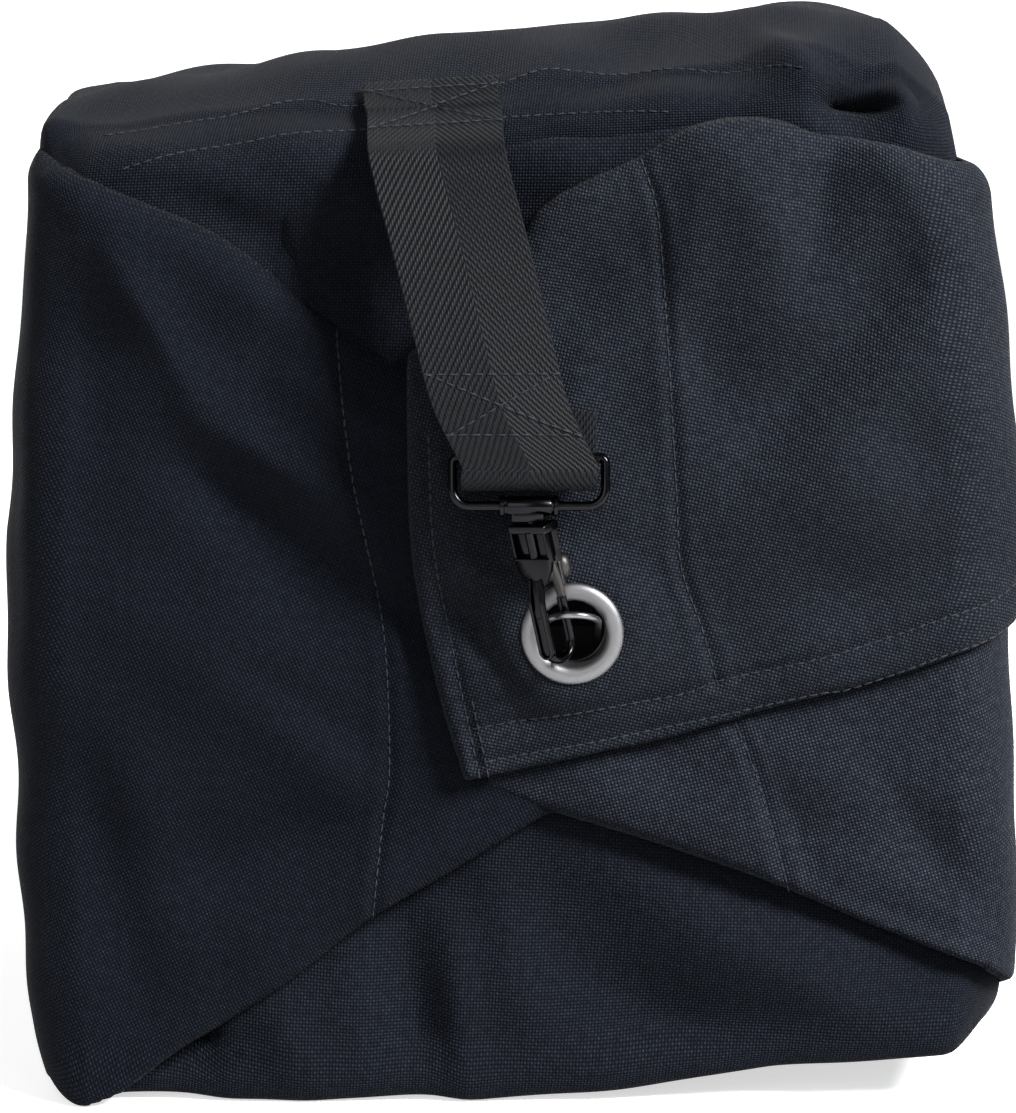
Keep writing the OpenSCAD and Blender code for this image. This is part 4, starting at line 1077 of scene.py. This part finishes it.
rim = Solid()
faceY = layerY["right_flap"] - 0.7 * mm
prof = [(-4.2, 9.0), (-1.0, 9.0), (0.3, 9.25), (1.0, 9.8), (1.45, 10.7), (1.6, 11.7), (1.4, 12.7), (0.95, 13.5),
        (0.4, 13.95), (0.0, 14.0), (-0.1, 13.2), (-0.1, 10.2), (-4.2, 10.0)]
rim.lathe([(-a, r) for a, r in prof], "Y", closed=True, segments=96)
rim.build("outer_eyelet_rim", satinEyelet, (eyeletMid[0], faceY, eyeletMid[2]), np.eye(3), "root", "outer_eyelet")
print("stage: metal")

def makeBinding():
    # tape sewn round the seam of the rear panel, following the filled back
    outer = np.array([np.array(c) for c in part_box("rear_binding")]) / mm
    width, rounding = 9.0, 26.0
    middle = (outer[0] + outer[1]) / 2
    size = (outer[1] - outer[0])[[0, 2]] - width
    loop = along(roundRect(size[0], size[1], rounding, middle[0], middle[2], 12), 3.0, closed=True)
    outward = loop - np.array([middle[0], middle[2]])
    outward = np.sign(outward) * np.clip(np.abs(outward) - (size / 2 - rounding), 0, None)
    outward /= np.linalg.norm(outward, axis=1)[:, None]
    rows = []
    for share, clear in ((-0.5, 0.0), (-0.46, 0.8), (-0.2, 1.0), (0.2, 1.0), (0.46, 0.8), (0.5, 0.0)):
        q = (loop + outward * share * width) * mm
        box = np.stack([q[:, 0], np.full(len(q), bagMid[1] + halfSize[1]), q[:, 1]], axis=1)
        rows.append(bodyPoints(box) + np.array([0, clear * mm, 0]))
    n, m = len(loop), len(rows)
    faces = [(i * n + k, i * n + (k + 1) % n, (i + 1) * n + (k + 1) % n,
              (i + 1) * n + k) for i in range(m - 1) for k in range(n)]
    run = np.arange(n) * 3.0 * mm
    uvs = np.concatenate([np.stack([run, np.full(n, i * width / 5 * mm)], axis=1) for i in range(m)])
    obj = makeMesh("rear_binding_tape", np.concatenate(rows), faces, uvs, bodyCloth)
    wall = obj.modifiers.new("tape thickness", "SOLIDIFY")
    wall.thickness = 0.8 * mm
    wall.offset = 0.0
    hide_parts("rear_binding")
    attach(obj, "root")


makeBinding()

def plainMaterial(name, low, high, grain, rough, specular, bumpHeight):
    # one colour broken up by a grain of the given size in mm, with the grain as relief too
    mat, tree, shader = startMaterial(name, **{"Roughness": rough, "Specular IOR Level": specular})
    coord = addNode(tree, "ShaderNodeTexCoord")
    noise = addNode(tree, "ShaderNodeTexNoise", {"Vector": coord.outputs["Object"]})
    noise.inputs["Scale"].default_value = 1.0 / (grain * mm)
    noise.inputs["Detail"].default_value = 5.0
    ramp = addNode(tree, "ShaderNodeValToRGB", {0: noise.outputs[0]})
    ramp.color_ramp.elements[0].position = 0.3
    ramp.color_ramp.elements[0].color = hexLinear(low)
    ramp.color_ramp.elements[1].position = 0.7
    ramp.color_ramp.elements[1].color = hexLinear(high)
    tree.links.new(ramp.outputs[0], shader.inputs["Base Color"])
    bump = addNode(tree, "ShaderNodeBump", {"Height": noise.outputs[0]})
    bump.inputs["Strength"].default_value = 0.6
    bump.inputs["Distance"].default_value = bumpHeight * mm
    tree.links.new(bump.outputs[0], shader.inputs["Normal"])
    return mat


# The plates behind the eyelet are made near black as painted shade, so that the eyelet's hole reads dark.
plateShadeBlack = plainMaterial("plate behind the eyelet darkened as painted shade", "030304", "08090a", 0.6, 0.8, 0.1, 0.03)
linerFilm = plainMaterial("polythene liner film", "30363c", "454c52", 9.0, 0.35, 0.4, 0.6)      # crumpled film
drySand = plainMaterial("dry building sand", "8a6f49", "c7aa7c", 0.8, 0.95, 0.2, 0.5)            # 0.8 mm grains
tieNylon = plainMaterial("black nylon tie", "0a0a0b", "17181a", 1.5, 0.45, 0.4, 0.05)
carried = {
    "left_eyelet": satinEyelet, "left_washer": satinEyelet, "top_eyelet": satinEyelet, "top_washer": satinEyelet,
    "outer_washer": satinEyelet, "staple": stapleSteel, "gate_spring": satinNickel,
    "staple_plate": plateShadeBlack, "staple_back_plate": plateShadeBlack,
    "left_liner": linerFilm, "right_liner": linerFilm, "left_sand": drySand, "right_sand": drySand,
    "left_tie": tieNylon, "right_tie": tieNylon,
}
for node, mat in carried.items():
    obj = frame["nodes"][node]
    obj.data.materials.clear()
    obj.data.materials.append(mat)

camera = {"azimuth": 0, "elevation": 8.6, "distance": 1.25, "lens": 155.7, "aim": (0.0, -0.06, 0.1442)}


def makeCamera():
    data = bpy.data.cameras.new("camera")
    data.lens = camera["lens"]
    data.sensor_fit = "HORIZONTAL"
    obj = bpy.data.objects.new("camera", data)
    bpy.context.scene.collection.objects.link(obj)
    az, el = math.radians(camera["azimuth"]), math.radians(camera["elevation"])
    away = Vector((math.sin(az) * math.cos(el), -math.cos(az) * math.cos(el), math.sin(el)))
    obj.location = Vector(camera["aim"]) + away * camera["distance"]
    obj.rotation_euler = away.to_track_quat("Z", "Y").to_euler()
    data.clip_end = 50
    bpy.context.scene.camera = obj


studio = {"world": 0.22, "sweepGlow": 1.0, "floorGlow": 0.62}


def makeStudio():
    # white floor and glowing back wall, a large soft key from the right, weak fill from the left
    floor = makeMesh("studio_floor", [(-6, -6, 0), (6, -6, 0), (6, 3, 0), (-6, 3, 0)], [(0, 1, 2, 3)])
    wall = makeMesh("studio_wall", [(-6, 3, -0.2), (6, 3, -0.2), (6, 3, 5), (-6, 3, 5)], [(0, 1, 2, 3)])
    for obj, name, glow in ((floor, "pale studio floor", studio["floorGlow"]),
                            (wall, "pale studio wall", studio["sweepGlow"])):
        mat, tree, shader = startMaterial(name, **{"Base Color": hexLinear("f4f4f4"), "Roughness": 0.8,
                                                   "Emission Color": (1, 1, 1, 1), "Emission Strength": glow})
        obj.data.materials.append(mat)
        obj.visible_diffuse = False             # the sweep shows white without filling the folds with light
    world = bpy.data.worlds.new("studio light")
    world.use_nodes = True
    world.node_tree.nodes["Background"].inputs[0].default_value = (1, 1, 1, 1)
    world.node_tree.nodes["Background"].inputs[1].default_value = studio["world"]
    bpy.context.scene.world = world
    for name, at, size, power, aim in (("key", (1.1, -0.95, 1.15), 0.5, 86, (0.05, -0.1, 0.18)),
                                       ("fill", (-0.6, -1.9, 0.9), 1.2, 13, (0, 0, 0.15)),
                                       ("top", (-0.3, 0.1, 1.6), 0.9, 1.5, (0, 0, 0.2)),
                                       ("rear", (-1.1, 1.5, 0.35), 0.9, 9, (-0.05, 0.05, 0.12))):
        light = bpy.data.lights.new(name, "AREA")
        light.size = size
        light.energy = power
        obj = bpy.data.objects.new(name, light)
        bpy.context.scene.collection.objects.link(obj)
        obj.location = at
        obj.rotation_euler = (Vector(at) - Vector(aim)).to_track_quat("Z", "Y").to_euler()


makeCamera()
makeStudio()
bpy.context.scene.view_settings.view_transform = "Standard"
